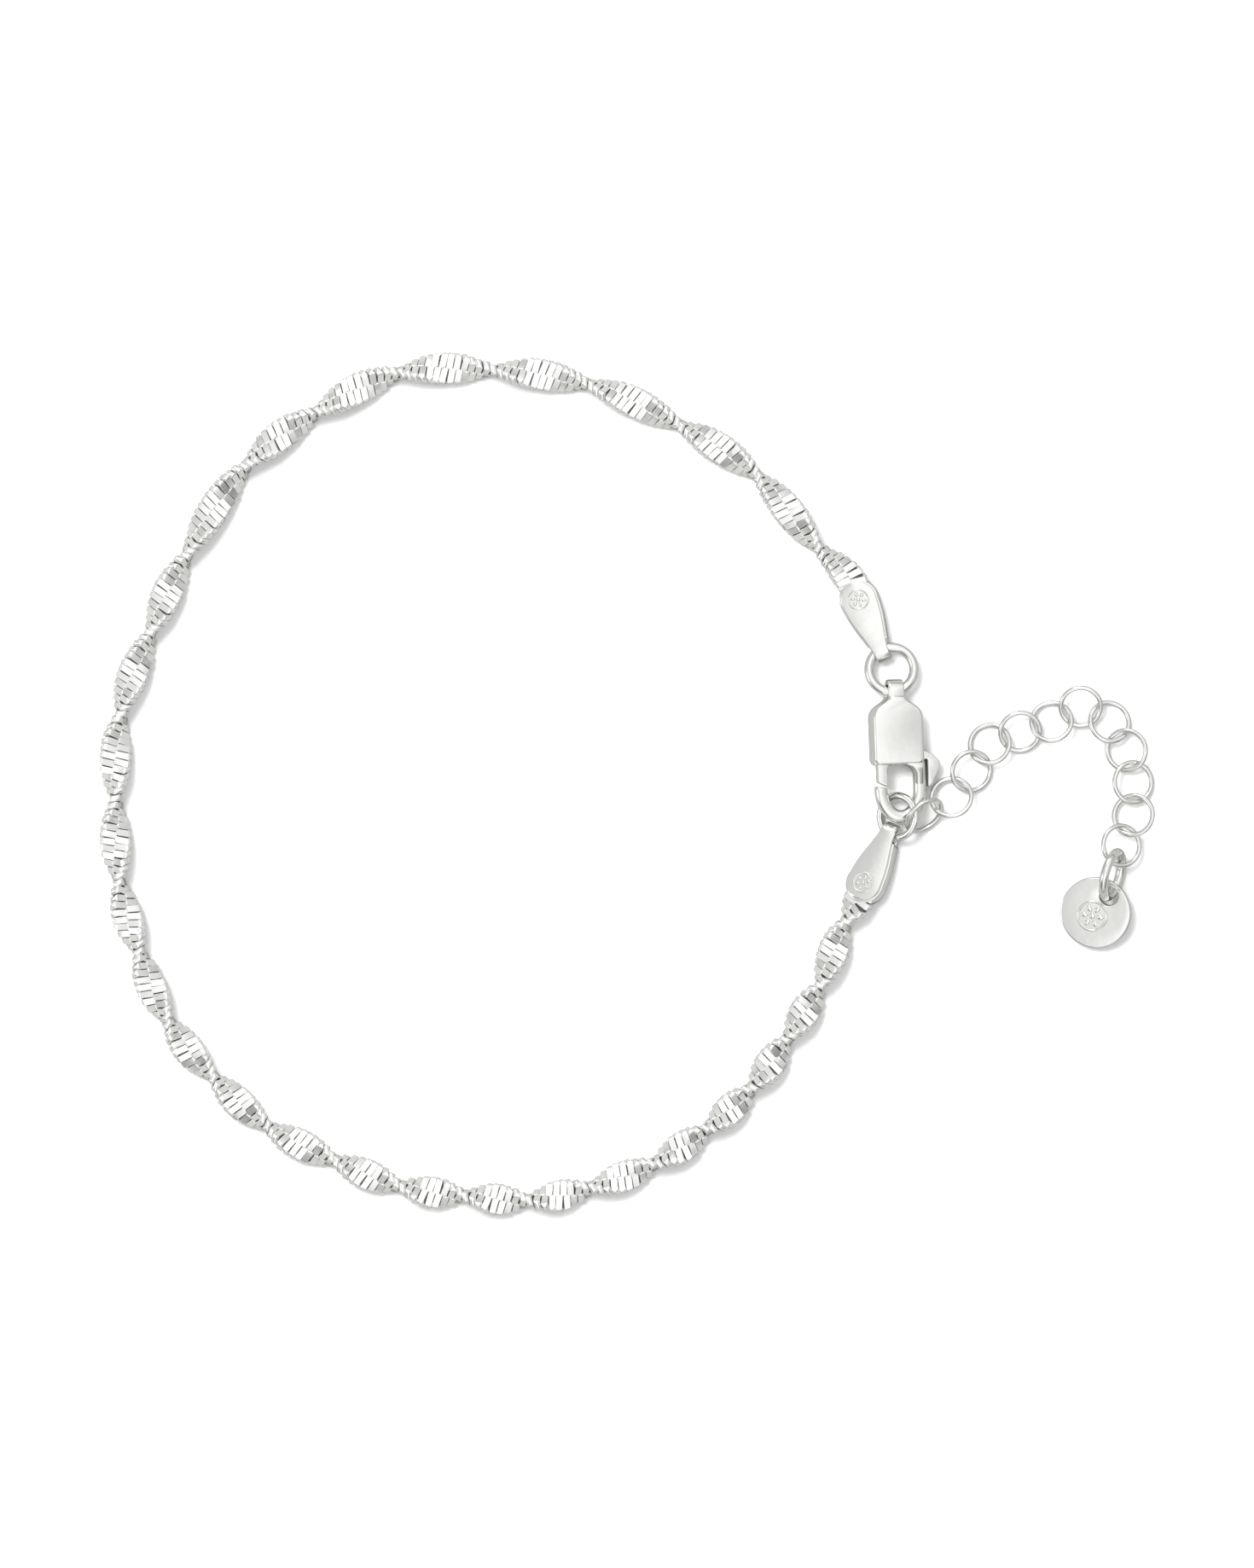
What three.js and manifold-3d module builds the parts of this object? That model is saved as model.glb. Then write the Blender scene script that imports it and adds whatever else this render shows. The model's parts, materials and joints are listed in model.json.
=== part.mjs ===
// A bracelet of twisted herringbone chain in polished silver, closed and lying flat.
// The chain's two ends sit in folded teardrop caps. A trigger clasp closes the loop
// through two jump rings, and a short extender of round links ends in a round tag.
// Millimetres and degrees, +X to the right, +Y away from the viewer, +Z up.

import * as THREE from 'three';
import { mergeVertices } from 'three/addons/utils/BufferGeometryUtils.js';
import Module from 'manifold-3d';

const wasm = await Module();
wasm.setup();

// Clearance between pieces, and how far a cutting solid runs past what it cuts
const gap = 0.1;
const overrun = 1;

// Chain band
const bandWidth = 2.25;
const bandThickness = 0.75;
const bandEdgeRound = 0.25;
const stepsPerHalfTurn = 8;

// Where the band stands on edge, in order from the upper cap round to the lower one.
// The band turns to the right by half a turn from each of these points to the next.
const chainRoute = [
  [13.41, 16.71],
  [9.09, 21.75],
  [3.63, 25.29],
  [-2.73, 28.11],
  [-9.45, 29.13],
  [-16.05, 28.89],
  [-21.87, 26.13],
  [-26.73, 22.41],
  [-30.99, 16.05],
  [-33.51, 10.59],
  [-35.61, 4.89],
  [-35.97, -1.17],
  [-35.67, -6.87],
  [-34.29, -11.85],
  [-32.25, -16.65],
  [-29.01, -20.67],
  [-25.17, -24.09],
  [-20.43, -26.49],
  [-15.87, -28.29],
  [-11.31, -28.95],
  [-6.81, -29.25],
  [-2.43, -28.35],
  [2.07, -26.61],
  [5.73, -24.21],
  [8.79, -21.33],
  [11.37, -17.79],
  [13.59, -14.13],
  [15.39, -9.63],
];

// End caps: a strip folded over its ring at the narrow end, with the chain in a pocket at
// the wide end. The upper leaf is a little smaller than the cup below it.
const capThickness = 1.5;
const capFoldWidth = 1.2;
const capWideDiameter = 2.78;
const capFoldToWide = 3.85;
const capLeafThickness = 0.3;
const capLeafInset = 0.13;
const capPocketDepth = 1.5;
const foldReach = 0.12;
const foldBoreHeight = 1.12;
const foldBoreLength = 1.18;
const foldBoreCorner = 0.28;
const upperCapHeading = 113.5;
const upperCapRoll = -6;
const lowerCapHeading = 244.3;
const lowerCapRoll = 20;
const lowerCapPitch = 4;

// Thick jump rings: the upper one and the tag's. Contact angles run round the ring from its
// own +X to the middle of what hangs there.
const jumpRingDiameter = 3.84;
const jumpRingWire = 0.66;
const jumpRingSides = 16;
const upperRingAtClasp = 168;
const upperRingAtCap = 8;
const tagRingAtTag = 24;
const upperRingHeading = 109.6;
const upperRingPitch = -8;
const upperRingRoll = 3;
const tagRingHeading = -105.3;
const tagRingRoll = -68;
const tagRingSlack = 0.35;

// Jump ring in the hook
const hookRingDiameter = 3.45;
const hookRingWire = 0.5;
const hookRingRoll = -34;
const hookRingHeight = 1.25;
const hookRingOffset = -0.25;
const hookRingAtCap = 152;

// Extender
const linkDiameter = 3.15;
const linkWire = 0.34;
const linkSides = 14;
const wireSides = 6;
const linkSlack = 0.16;
const firstLinkHeading = 2;
const firstLinkSlack = 0.59;
const firstLinkTurn = 38;

// Extender links in order: the direction from each one to the next, ending with the tag's
// ring, how far its left side and its front end are raised, and its height above rest.
const extenderLinks = [
  { next: 34, roll: 54, pitch: 0, lift: 0.13 },
  { next: 52.5, roll: -20, pitch: -9, lift: 0.26 },
  { next: 55.9, roll: 20, pitch: 0, lift: 0.12 },
  { next: 21.9, roll: -20, pitch: 0, lift: 0.12 },
  { next: 17.8, roll: 20, pitch: 0, lift: 0.12 },
  { next: 27.3, roll: -20, pitch: 0, lift: 0.12 },
  { next: -27.6, roll: 20, pitch: 0, lift: 0.12 },
  { next: -59.4, roll: -20, pitch: 0, lift: 0.12 },
  { next: -78.2, roll: 20, pitch: 0, lift: 0.12 },
  { next: -90, roll: -20, pitch: 0, lift: 0.12 },
  { next: -111.7, roll: 20, pitch: 6, lift: 0.24 },
  { next: -108, roll: -20, pitch: 12, lift: 0.58 },
];

// Tag
const tagDiameter = 5.0;
const tagThickness = 0.6;
const tagHoleDiameter = 1.35;
const tagHoleRim = 0.26;
const tagHeading = 51;
const tagPitch = 12;
const tagRoll = -7;

// Rosettes raised on the tag and the caps
const tagRosetteDiameter = 2.2;
const capRosetteDiameter = 1.3;
const rosetteHeight = 0.12;
const rosettePetals = 6;

// Parts of a rosette as shares of its diameter
const rosetteRim = 0.08;
const rosetteMiddle = 0.1;
const rosettePetalAt = 0.26;
const rosettePetalLength = 0.12;
const rosettePetalWidth = 0.08;

// Clasp body, from the bore of its eye down to the hook. Its left side is raised.
const claspWidth = 3.6;
const claspThickness = 2.0;
const claspNeckWidth = 1.14;
const claspNeckThickness = 1.5;
const claspNeckLength = 0.3;
const claspShoulderLength = 1.5;
const claspShoulderBulge = 0.9;
const claspShoulderFlare = 0.52;
const claspBodyLength = 3.36;
const claspWall = 0.24;
const claspLean = 2;
const claspTilt = 12;
const claspEyeX = 18.83;
const claspEyeY = 6.51;

// Hook, and the jaw inside it
const hookWire = 0.9;
const hookThickness = 0.84;
const jawWidth = 1.92;
const jawDepth = 3.18;
const jawRound = 1.44;
const jawOffset = 0.18;
const hookTipHeight = 0.09;

// Lever, its slot in the body and the pin that it turns on
const leverThickness = 0.84;
const leverSlot = 1.0;
const leverSlotTop = 1.25;
const leverGateWidth = 0.68;
const leverGateGap = 0.14;
const leverGateSlant = 0.31;
const hookTipSlant = 0.2;
const leverHubDiameter = 1.4;
const leverArmWidth = 0.6;
const leverTabReach = 1.0;
const leverTabLength = 2.6;
const leverTabRoot = 0.26;
const leverTabHollow = 0.4;
const leverTabPeak = 0.9;
const leverTabFoot = 0.3;
const leverTabFootRise = 0.26;
const pinDiameter = 0.6;
const pinClearance = 0.08;
const pinX = 0.12;
const pinAboveBottom = 0.85;

const silver = { color: 0xe4e3df, roughness: 0.14, metalness: 1.0 };

function toRadians(degrees) {
  return THREE.MathUtils.degToRad(degrees);
}

function toSolid(geometry) {
  const bare = geometry.clone();
  bare.deleteAttribute('normal');
  bare.deleteAttribute('uv');
  const merged = mergeVertices(bare, 1e-4);
  return new wasm.Manifold(new wasm.Mesh({
    numProp: 3,
    vertProperties: new Float32Array(merged.attributes.position.array),
    triVerts: new Uint32Array(merged.index.array),
  }));
}

function toGeometry(solid) {
  const mesh = solid.getMesh();
  const geometry = new THREE.BufferGeometry();
  geometry.setAttribute('position', new THREE.BufferAttribute(mesh.vertProperties, mesh.numProp));
  geometry.setIndex(new THREE.BufferAttribute(mesh.triVerts, 1));
  geometry.computeVertexNormals();
  return geometry;
}

// A flat outline given a thickness, with z = middle halfway through it
function plate(shape, thickness, middle = 0, curveSegments = 6) {
  const options = { depth: thickness, bevelEnabled: false, curveSegments };
  const geometry = new THREE.ExtrudeGeometry(shape, options);
  geometry.translate(0, 0, middle - thickness / 2);
  return geometry;
}

function block(x0, x1, y0, y1, z0, z1) {
  const geometry = new THREE.BoxGeometry(x1 - x0, y1 - y0, z1 - z0);
  geometry.translate((x0 + x1) / 2, (y0 + y1) / 2, (z0 + z1) / 2);
  return geometry;
}

function piece(name, geometry, matrix) {
  const mesh = new THREE.Mesh(geometry, new THREE.MeshStandardMaterial(silver));
  mesh.name = name;
  mesh.applyMatrix4(matrix);
  return mesh;
}

// Points a piece's own X axis along a heading, raises its front end by pitch and its left
// side by roll, and puts its origin at a place.
function pose(at, heading, roll = 0, pitch = 0) {
  const euler = new THREE.Euler(toRadians(roll), toRadians(-pitch), toRadians(heading), 'ZYX');
  return new THREE.Matrix4().makeRotationFromEuler(euler).setPosition(at);
}

function flatStep(heading, distance) {
  const angle = toRadians(heading);
  return new THREE.Vector3(distance * Math.cos(angle), distance * Math.sin(angle), 0);
}

// Rings and links
function ringOf(diameter, wire, sides) {
  return { radius: (diameter - wire) / 2, wire, sides };
}

const thickRing = ringOf(jumpRingDiameter, jumpRingWire, jumpRingSides);
const hookRing = ringOf(hookRingDiameter, hookRingWire, jumpRingSides);
const link = ringOf(linkDiameter, linkWire, linkSides);

function ringGeometry(ring) {
  return new THREE.TorusGeometry(ring.radius, ring.wire / 2, wireSides, ring.sides);
}

function pointOnRing(ring, matrix, angle) {
  return flatStep(angle, ring.radius).applyMatrix4(matrix);
}

// Height at which a rolled and pitched ring of this radius touches the surface
function restHeight(radius, halfThickness, roll, pitch = 0) {
  const up = Math.cos(toRadians(roll)) * Math.cos(toRadians(pitch));
  return radius * Math.sqrt(1 - up * up) + halfThickness;
}

// Distance between the middles of two linked rings, pulled tight but for some slack
function linkedDistance(a, b, slack) {
  return a.radius + b.radius - (a.wire + b.wire) / 2 - slack;
}

// A rosette in low relief on z = 0: a rim, petals and a round middle
function rosette(diameter) {
  const thickness = 2 * rosetteHeight;
  const outer = diameter / 2;
  const rim = new THREE.Shape().absarc(0, 0, outer, 0, 2 * Math.PI, false);
  rim.holes.push(new THREE.Path().absarc(0, 0, outer - rosetteRim * diameter, 0, 2 * Math.PI, true));
  const middle = new THREE.Shape().absarc(0, 0, rosetteMiddle * diameter, 0, 2 * Math.PI, false);
  const length = rosettePetalLength * diameter;
  const width = rosettePetalWidth * diameter;
  const petal = new THREE.Shape().absellipse(rosettePetalAt * diameter, 0, length, width, 0, 2 * Math.PI);
  let solid = toSolid(plate(rim, thickness, 0, 20)).add(toSolid(plate(middle, thickness, 0, 8)));
  for (let i = 0; i < rosettePetals; i++) {
    const petalGeometry = plate(petal, thickness, 0, 8);
    petalGeometry.rotateZ(2 * Math.PI * i / rosettePetals);
    solid = solid.add(toSolid(petalGeometry));
  }
  return solid;
}

// End cap, seen from above: the bore of its fold crosses the origin, the wide end is at +X
const capMouth = capFoldToWide + capWideDiameter / 2;

function capOutline(inset) {
  const foldHalf = capFoldWidth / 2 - inset;
  const wideRadius = capWideDiameter / 2 - inset;
  const foldEnd = -foldReach - capThickness / 2;
  const taper = Math.asin((wideRadius - foldHalf) / capFoldToWide);
  const shape = new THREE.Shape();
  shape.moveTo(foldEnd, -foldHalf);
  shape.absarc(capFoldToWide, 0, wideRadius, -Math.PI / 2 - taper, Math.PI / 2 + taper, false);
  shape.lineTo(foldEnd, foldHalf);
  return shape;
}

function capSide() {
  const radius = capThickness / 2;
  const shape = new THREE.Shape();
  shape.moveTo(capMouth + overrun, -radius);
  shape.lineTo(capMouth + overrun, radius);
  shape.lineTo(-foldReach, radius);
  shape.absarc(-foldReach, 0, radius, Math.PI / 2, 3 * Math.PI / 2, false);
  return shape;
}

// An outline in the X-Z plane, given a width across Y
function acrossY(shape, width, curveSegments) {
  return plate(shape, width, 0, curveSegments).rotateX(Math.PI / 2);
}

// The opening that a ring passes through, a little longer than high, reaching towards -X
function boreOutline() {
  const left = -foldReach / 2 - foldBoreLength / 2;
  const right = -foldReach / 2 + foldBoreLength / 2;
  const half = foldBoreHeight / 2;
  const corner = foldBoreCorner;
  const shape = new THREE.Shape();
  shape.absarc(right - corner, half - corner, corner, 0, Math.PI / 2, false);
  shape.absarc(left + corner, half - corner, corner, Math.PI / 2, Math.PI, false);
  shape.absarc(left + corner, corner - half, corner, Math.PI, 3 * Math.PI / 2, false);
  shape.absarc(right - corner, corner - half, corner, 3 * Math.PI / 2, 2 * Math.PI, false);
  return shape;
}

function capGeometry() {
  const acrossAll = capWideDiameter + overrun;
  const cupThickness = capThickness - capLeafThickness;
  const cup = toSolid(plate(capOutline(0), cupThickness, -capLeafThickness / 2, 10));
  const leaf = toSolid(plate(capOutline(capLeafInset), capThickness, 0, 10));
  const side = toSolid(acrossY(capSide(), acrossAll, 8));
  const bore = toSolid(acrossY(boreOutline(), acrossAll, 3));
  const pocketHalfWidth = bandWidth / 2 + gap;
  const pocketHalfHeight = bandThickness / 2 + gap;
  const pocket = toSolid(block(
    capMouth - capPocketDepth,
    capMouth + overrun,
    -pocketHalfWidth,
    pocketHalfWidth,
    -pocketHalfHeight,
    pocketHalfHeight,
  ));
  const relief = rosette(capRosetteDiameter).translate([capFoldToWide, 0, capThickness / 2]);
  return toGeometry(cup.add(leaf).intersect(side).subtract(bore).subtract(pocket).add(relief));
}

// Clasp, seen from above: the bore of its eye crosses the origin, the hook is at -Y
const shoulderTop = -claspNeckLength;
const bodyTop = shoulderTop - claspShoulderLength;
const bodyBottom = bodyTop - claspBodyLength;
const jawBottom = bodyBottom - jawDepth;
const hookMiddleY = jawBottom + jawRound;
const hookTipY = hookMiddleY + hookTipHeight;
const pinY = bodyBottom + pinAboveBottom;

function claspOutline() {
  const half = claspWidth / 2;
  const neck = claspNeckWidth / 2;
  const bulgeEnd = bodyTop + claspShoulderBulge;
  const flareEnd = shoulderTop - claspShoulderFlare;
  const shape = new THREE.Shape();
  shape.moveTo(-half, bodyBottom);
  shape.lineTo(half, bodyBottom);
  shape.lineTo(half, bodyTop);
  shape.bezierCurveTo(half, bulgeEnd, neck, flareEnd, neck, shoulderTop);
  shape.lineTo(-neck, shoulderTop);
  shape.bezierCurveTo(-neck, flareEnd, -half, bulgeEnd, -half, bodyTop);
  return shape;
}

function hookOutline() {
  const outerX = jawWidth / 2 + hookWire;
  const outerY = jawRound + hookWire;
  const root = bodyBottom + claspWall;
  const shape = new THREE.Shape();
  shape.moveTo(jawOffset + outerX, root);
  shape.lineTo(jawOffset + jawWidth / 2, root);
  shape.lineTo(jawOffset + jawWidth / 2, hookMiddleY);
  shape.absellipse(jawOffset, hookMiddleY, jawWidth / 2, jawRound, 0, Math.PI, true);
  shape.lineTo(jawOffset - jawWidth / 2, hookTipY);
  shape.lineTo(jawOffset - outerX, hookTipY + hookTipSlant);
  shape.lineTo(jawOffset - outerX, hookMiddleY);
  shape.absellipse(jawOffset, hookMiddleY, outerX, outerY, Math.PI, 2 * Math.PI, false);
  return shape;
}

// The neck: a strip as wide as the neck, rounded over the bore that crosses it
function neckSolid() {
  const radius = claspNeckThickness / 2;
  const root = shoulderTop - claspShoulderLength / 2;
  const shape = new THREE.Shape();
  shape.moveTo(root, -radius);
  shape.absarc(foldReach, 0, radius, -Math.PI / 2, Math.PI / 2, false);
  shape.lineTo(root, radius);
  const strip = acrossY(shape, claspNeckWidth, 10).rotateZ(Math.PI / 2);
  return toSolid(strip);
}

function claspBodyGeometry() {
  const half = claspWidth / 2;
  const slotHalf = leverSlot / 2;
  const slotTop = pinY + leverSlotTop;
  const eye = toSolid(acrossY(boreOutline(), claspWidth, 3).rotateZ(-Math.PI / 2));
  const innerLeft = -half + claspWall;
  const armInner = jawOffset + jawWidth / 2;
  const gateSlot = toSolid(block(innerLeft, armInner, bodyBottom - overrun, slotTop, -slotHalf, slotHalf));
  const tabSlot = toSolid(block(0, half + overrun, bodyBottom + claspWall, slotTop, -slotHalf, slotHalf));
  const pinGeometry = new THREE.CylinderGeometry(pinDiameter / 2, pinDiameter / 2, leverSlot + gap, 12);
  pinGeometry.rotateX(Math.PI / 2).translate(pinX, pinY, 0);
  const body = toSolid(plate(claspOutline(), claspThickness, 0, 6));
  const hook = toSolid(plate(hookOutline(), hookThickness, 0, 10));
  const slotted = body.subtract(gateSlot).subtract(tabSlot);
  const withHook = slotted.add(hook).add(neckSolid()).subtract(eye);
  return toGeometry(withHook.add(toSolid(pinGeometry)));
}

// Lever: a gate that closes the jaw, a hub on the pin and a thumb tab beside the hook's arm
function leverOutline() {
  const hub = leverHubDiameter / 2;
  const gateLeft = jawOffset - jawWidth / 2 - leverGateWidth;
  const gateRight = jawOffset - jawWidth / 2;
  const gateEnd = hookTipY + leverGateGap;
  const armTop = bodyBottom + claspWall + gap + leverArmWidth;
  const armBottom = armTop - leverArmWidth;
  const tabLeft = jawOffset + jawWidth / 2 + hookWire + gap;
  const tabRight = tabLeft + leverTabReach;
  const tabEnd = armTop - leverTabLength;
  const shape = new THREE.Shape();
  shape.moveTo(gateLeft, gateEnd + leverGateSlant);
  shape.lineTo(gateRight, gateEnd);
  shape.lineTo(gateRight, bodyBottom - gap);
  shape.lineTo(pinX, pinY - hub);
  shape.lineTo(jawOffset + jawWidth / 2 - gap, armBottom);
  shape.lineTo(tabLeft, armBottom);
  shape.lineTo(tabLeft, tabEnd);
  shape.lineTo(tabLeft + leverTabFoot, tabEnd + leverTabFootRise);
  shape.lineTo(tabRight, armTop - leverTabPeak);
  shape.lineTo(tabLeft + leverTabHollow, armTop - leverTabRoot);
  shape.lineTo(claspWidth / 2 + gap, armTop);
  shape.lineTo(pinX + hub, armTop);
  shape.absarc(pinX, pinY, hub, Math.asin((armTop - pinY) / hub), Math.PI, false);
  shape.lineTo(gateLeft, pinY - hub);
  return shape;
}

function leverGeometry() {
  const bore = new THREE.CylinderGeometry(
    pinDiameter / 2 + pinClearance,
    pinDiameter / 2 + pinClearance,
    claspThickness,
    12,
  );
  bore.rotateX(Math.PI / 2).translate(pinX, pinY, 0);
  return toGeometry(toSolid(plate(leverOutline(), leverThickness, 0, 6)).subtract(toSolid(bore)));
}

// Tag: a round plate with a hole towards its own +X and a rosette in its middle
const tagHoleX = (tagDiameter - tagHoleDiameter) / 2 - tagHoleRim;

function tagGeometry() {
  const shape = new THREE.Shape().absarc(0, 0, tagDiameter / 2, 0, 2 * Math.PI, false);
  shape.holes.push(new THREE.Path().absarc(tagHoleX, 0, tagHoleDiameter / 2, 0, 2 * Math.PI, true));
  const rosetteX = tagHoleX - tagHoleDiameter / 2 - gap - tagRosetteDiameter / 2;
  const relief = rosette(tagRosetteDiameter).translate([rosetteX, 0, tagThickness / 2]);
  return toGeometry(toSolid(plate(shape, tagThickness, 0, 32)).add(relief));
}

// The band along its route. Each station has a place and how many half turns it has made.
function bandStations(upperCap, lowerCap) {
  const inCap = new THREE.Vector3(capMouth - capPocketDepth + gap, 0, 0);
  const beforeCap = new THREE.Vector3(capMouth + gap, 0, 0);
  const startTurns = (upperCapRoll - 90) / 180;
  const endTurns = chainRoute.length - 1 + (90 - lowerCapRoll) / 180;
  const stations = chainRoute.map(([x, y], i) => (
    { at: new THREE.Vector3(x, y, bandWidth / 2), turns: i }
  ));
  stations.unshift({ at: beforeCap.clone().applyMatrix4(upperCap), turns: startTurns });
  stations.unshift({ at: inCap.clone().applyMatrix4(upperCap), turns: startTurns });
  stations.push({ at: beforeCap.clone().applyMatrix4(lowerCap), turns: endTurns });
  stations.push({ at: inCap.clone().applyMatrix4(lowerCap), turns: endTurns });
  return stations;
}

// The band's section, across and through, with its four edges cut back
function bandSection() {
  const half = bandWidth / 2;
  const flat = half - bandEdgeRound;
  const thick = bandThickness / 2;
  return [
    [half, -thick / 2],
    [half, thick / 2],
    [flat, thick],
    [-flat, thick],
    [-half, thick / 2],
    [-half, -thick / 2],
    [-flat, -thick],
    [flat, -thick],
  ];
}

function bandGeometry(stations) {
  const curve = new THREE.CatmullRomCurve3(stations.map((station) => station.at));
  const section = bandSection();
  const lastSegment = stations.length - 1;
  const positions = [];
  const addSection = (segment, share) => {
    const t = (segment + share) / lastSegment;
    const at = curve.getPoint(t);
    const along = curve.getTangent(t);
    const from = stations[segment].turns;
    const to = stations[Math.min(segment + 1, lastSegment)].turns;
    const turn = Math.PI * (from + (to - from) * share);
    const across = new THREE.Vector3(0, 0, 1).addScaledVector(along, -along.z).normalize();
    across.applyAxisAngle(along, turn);
    const through = along.clone().cross(across);
    for (const [a, b] of section) {
      positions.push(...at.clone().addScaledVector(across, a).addScaledVector(through, b).toArray());
    }
  };
  for (let segment = 0; segment < lastSegment; segment++) {
    const turns = stations[segment + 1].turns - stations[segment].turns;
    const steps = Math.max(1, Math.ceil(turns * stepsPerHalfTurn));
    for (let step = 0; step < steps; step++) {
      addSection(segment, step / steps);
    }
  }
  addSection(lastSegment, 0);
  const n = section.length;
  const sections = positions.length / (3 * n);
  const triangles = [];
  for (let k = 0; k < sections - 1; k++) {
    for (let j = 0; j < n; j++) {
      const a = k * n + j;
      const b = k * n + (j + 1) % n;
      triangles.push(a, b, b + n, a, b + n, a + n);
    }
  }
  const end = (sections - 1) * n;
  for (let j = 1; j < n - 1; j++) {
    triangles.push(0, j + 1, j);
    triangles.push(end, end + j, end + j + 1);
  }
  const geometry = new THREE.BufferGeometry();
  geometry.setAttribute('position', new THREE.BufferAttribute(new Float32Array(positions), 3));
  geometry.setIndex(triangles);
  geometry.computeVertexNormals();
  return geometry;
}

// Where everything lies. The clasp comes first, and the rings and caps hang on it.
const tilt = toRadians(claspTilt);
const claspHeight = claspWidth / 2 * Math.sin(tilt) + claspThickness / 2 * Math.cos(tilt);
const claspEye = new THREE.Vector3(claspEyeX, claspEyeY, claspHeight);
const claspPose = new THREE.Matrix4()
  .makeRotationFromEuler(new THREE.Euler(0, tilt, toRadians(claspLean), 'ZYX'))
  .setPosition(claspEye);

const upperRingTurn = pose(new THREE.Vector3(), upperRingHeading, upperRingRoll, upperRingPitch);
const upperRingAtEye = pointOnRing(thickRing, upperRingTurn, upperRingAtClasp);
const upperRingPose = upperRingTurn.clone().setPosition(claspEye.clone().sub(upperRingAtEye));
const upperFold = pointOnRing(thickRing, upperRingPose, upperRingAtCap);
const upperCapPose = pose(upperFold, upperCapHeading, upperCapRoll);

const hookMiddle = new THREE.Vector3(jawOffset + hookRingOffset, jawBottom - hookWire / 2, 0);
hookMiddle.applyMatrix4(claspPose);
hookMiddle.z = hookRingHeight;
const hookRingPose = pose(hookMiddle, 90, hookRingRoll);
const lowerFold = pointOnRing(hookRing, hookRingPose, hookRingAtCap);
const lowerCapPose = pose(lowerFold, lowerCapHeading, lowerCapRoll, lowerCapPitch);

function extenderPieces() {
  const pieces = [];
  const step = linkedDistance(link, link, linkSlack);
  const at = flatStep(firstLinkHeading, linkedDistance(hookRing, link, firstLinkSlack)).add(hookMiddle);
  let previous = 2 * firstLinkTurn - extenderLinks[0].next;
  extenderLinks.forEach(({ next, roll, pitch, lift }, i) => {
    const heading = (previous + next) / 2;
    const offTurn = i > 0 ? step / 2 * Math.sin(toRadians((previous - next) / 2)) : 0;
    const turnLift = offTurn * Math.tan(toRadians(roll));
    at.z = restHeight(link.radius, link.wire / 2, roll, pitch) + turnLift + lift;
    const name = `extender_link_${String(i + 1).padStart(2, '0')}`;
    pieces.push(piece(name, ringGeometry(link), pose(at, heading, roll, pitch)));
    const onward = i + 1 < extenderLinks.length ? step : linkedDistance(link, thickRing, tagRingSlack);
    at.add(flatStep(next, onward));
    previous = next;
  });
  at.z = restHeight(thickRing.radius, thickRing.wire / 2, tagRingRoll);
  const tagRingPose = pose(at, tagRingHeading, tagRingRoll);
  pieces.push(piece('tag_ring', ringGeometry(thickRing), tagRingPose));
  const tagHole = pointOnRing(thickRing, tagRingPose, tagRingAtTag);
  const tagTurn = pose(new THREE.Vector3(), tagHeading, tagRoll, tagPitch);
  const tagMiddle = tagHole.sub(new THREE.Vector3(tagHoleX, 0, 0).applyMatrix4(tagTurn));
  tagMiddle.z = restHeight(tagDiameter / 2, tagThickness / 2, tagRoll, tagPitch);
  pieces.push(piece('tag_disc', tagGeometry(), pose(tagMiddle, tagHeading, tagRoll, tagPitch)));
  return pieces;
}

const bracelet = new THREE.Group();
bracelet.add(
  piece('chain', bandGeometry(bandStations(upperCapPose, lowerCapPose)), new THREE.Matrix4()),
  piece('end_cap_upper', capGeometry(), upperCapPose),
  piece('end_cap_lower', capGeometry(), lowerCapPose),
  piece('jump_ring_upper', ringGeometry(thickRing), upperRingPose),
  piece('jump_ring_lower', ringGeometry(hookRing), hookRingPose),
  piece('clasp_body', claspBodyGeometry(), claspPose),
  piece('clasp_lever', leverGeometry(), claspPose),
  ...extenderPieces(),
);

// The origin is the middle of the bracelet's box on the surface that it lies on
const box = new THREE.Box3().setFromObject(bracelet, true);
const middle = box.getCenter(new THREE.Vector3());
bracelet.position.set(-middle.x, -middle.y, -box.min.z);

const model = new THREE.Group();
model.add(bracelet);

export default model;
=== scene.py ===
# %% [markdown]
# This lesson dresses a silver bracelet: a twisted herringbone chain, two folded end caps, a
# trigger clasp, jump rings, an extender and a round tag. The solids of the real parts come
# first as a fixed frame, and every piece made here goes exactly where its solid is.

# %% Load the solids
import json
from math import asin, cos, pi, radians, sin, sqrt, tan, tau

import bmesh
import bpy
import numpy as np
from mathutils import Euler, Matrix, Vector


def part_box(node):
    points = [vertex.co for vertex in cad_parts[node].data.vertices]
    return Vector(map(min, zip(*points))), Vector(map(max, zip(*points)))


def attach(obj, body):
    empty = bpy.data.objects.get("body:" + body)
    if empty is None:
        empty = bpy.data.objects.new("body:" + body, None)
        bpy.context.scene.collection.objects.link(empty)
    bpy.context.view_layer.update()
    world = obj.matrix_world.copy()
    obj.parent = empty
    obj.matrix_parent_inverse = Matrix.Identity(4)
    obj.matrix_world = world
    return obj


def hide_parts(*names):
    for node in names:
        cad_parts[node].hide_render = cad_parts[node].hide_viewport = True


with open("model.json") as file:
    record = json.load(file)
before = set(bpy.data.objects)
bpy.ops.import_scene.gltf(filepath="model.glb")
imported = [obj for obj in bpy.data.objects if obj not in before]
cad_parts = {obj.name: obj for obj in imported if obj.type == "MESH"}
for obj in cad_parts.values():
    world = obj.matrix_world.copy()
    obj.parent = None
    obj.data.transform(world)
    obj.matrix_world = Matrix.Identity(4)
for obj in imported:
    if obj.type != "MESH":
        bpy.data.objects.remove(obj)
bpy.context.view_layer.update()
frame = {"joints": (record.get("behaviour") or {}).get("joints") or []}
MM = 0.001

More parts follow.
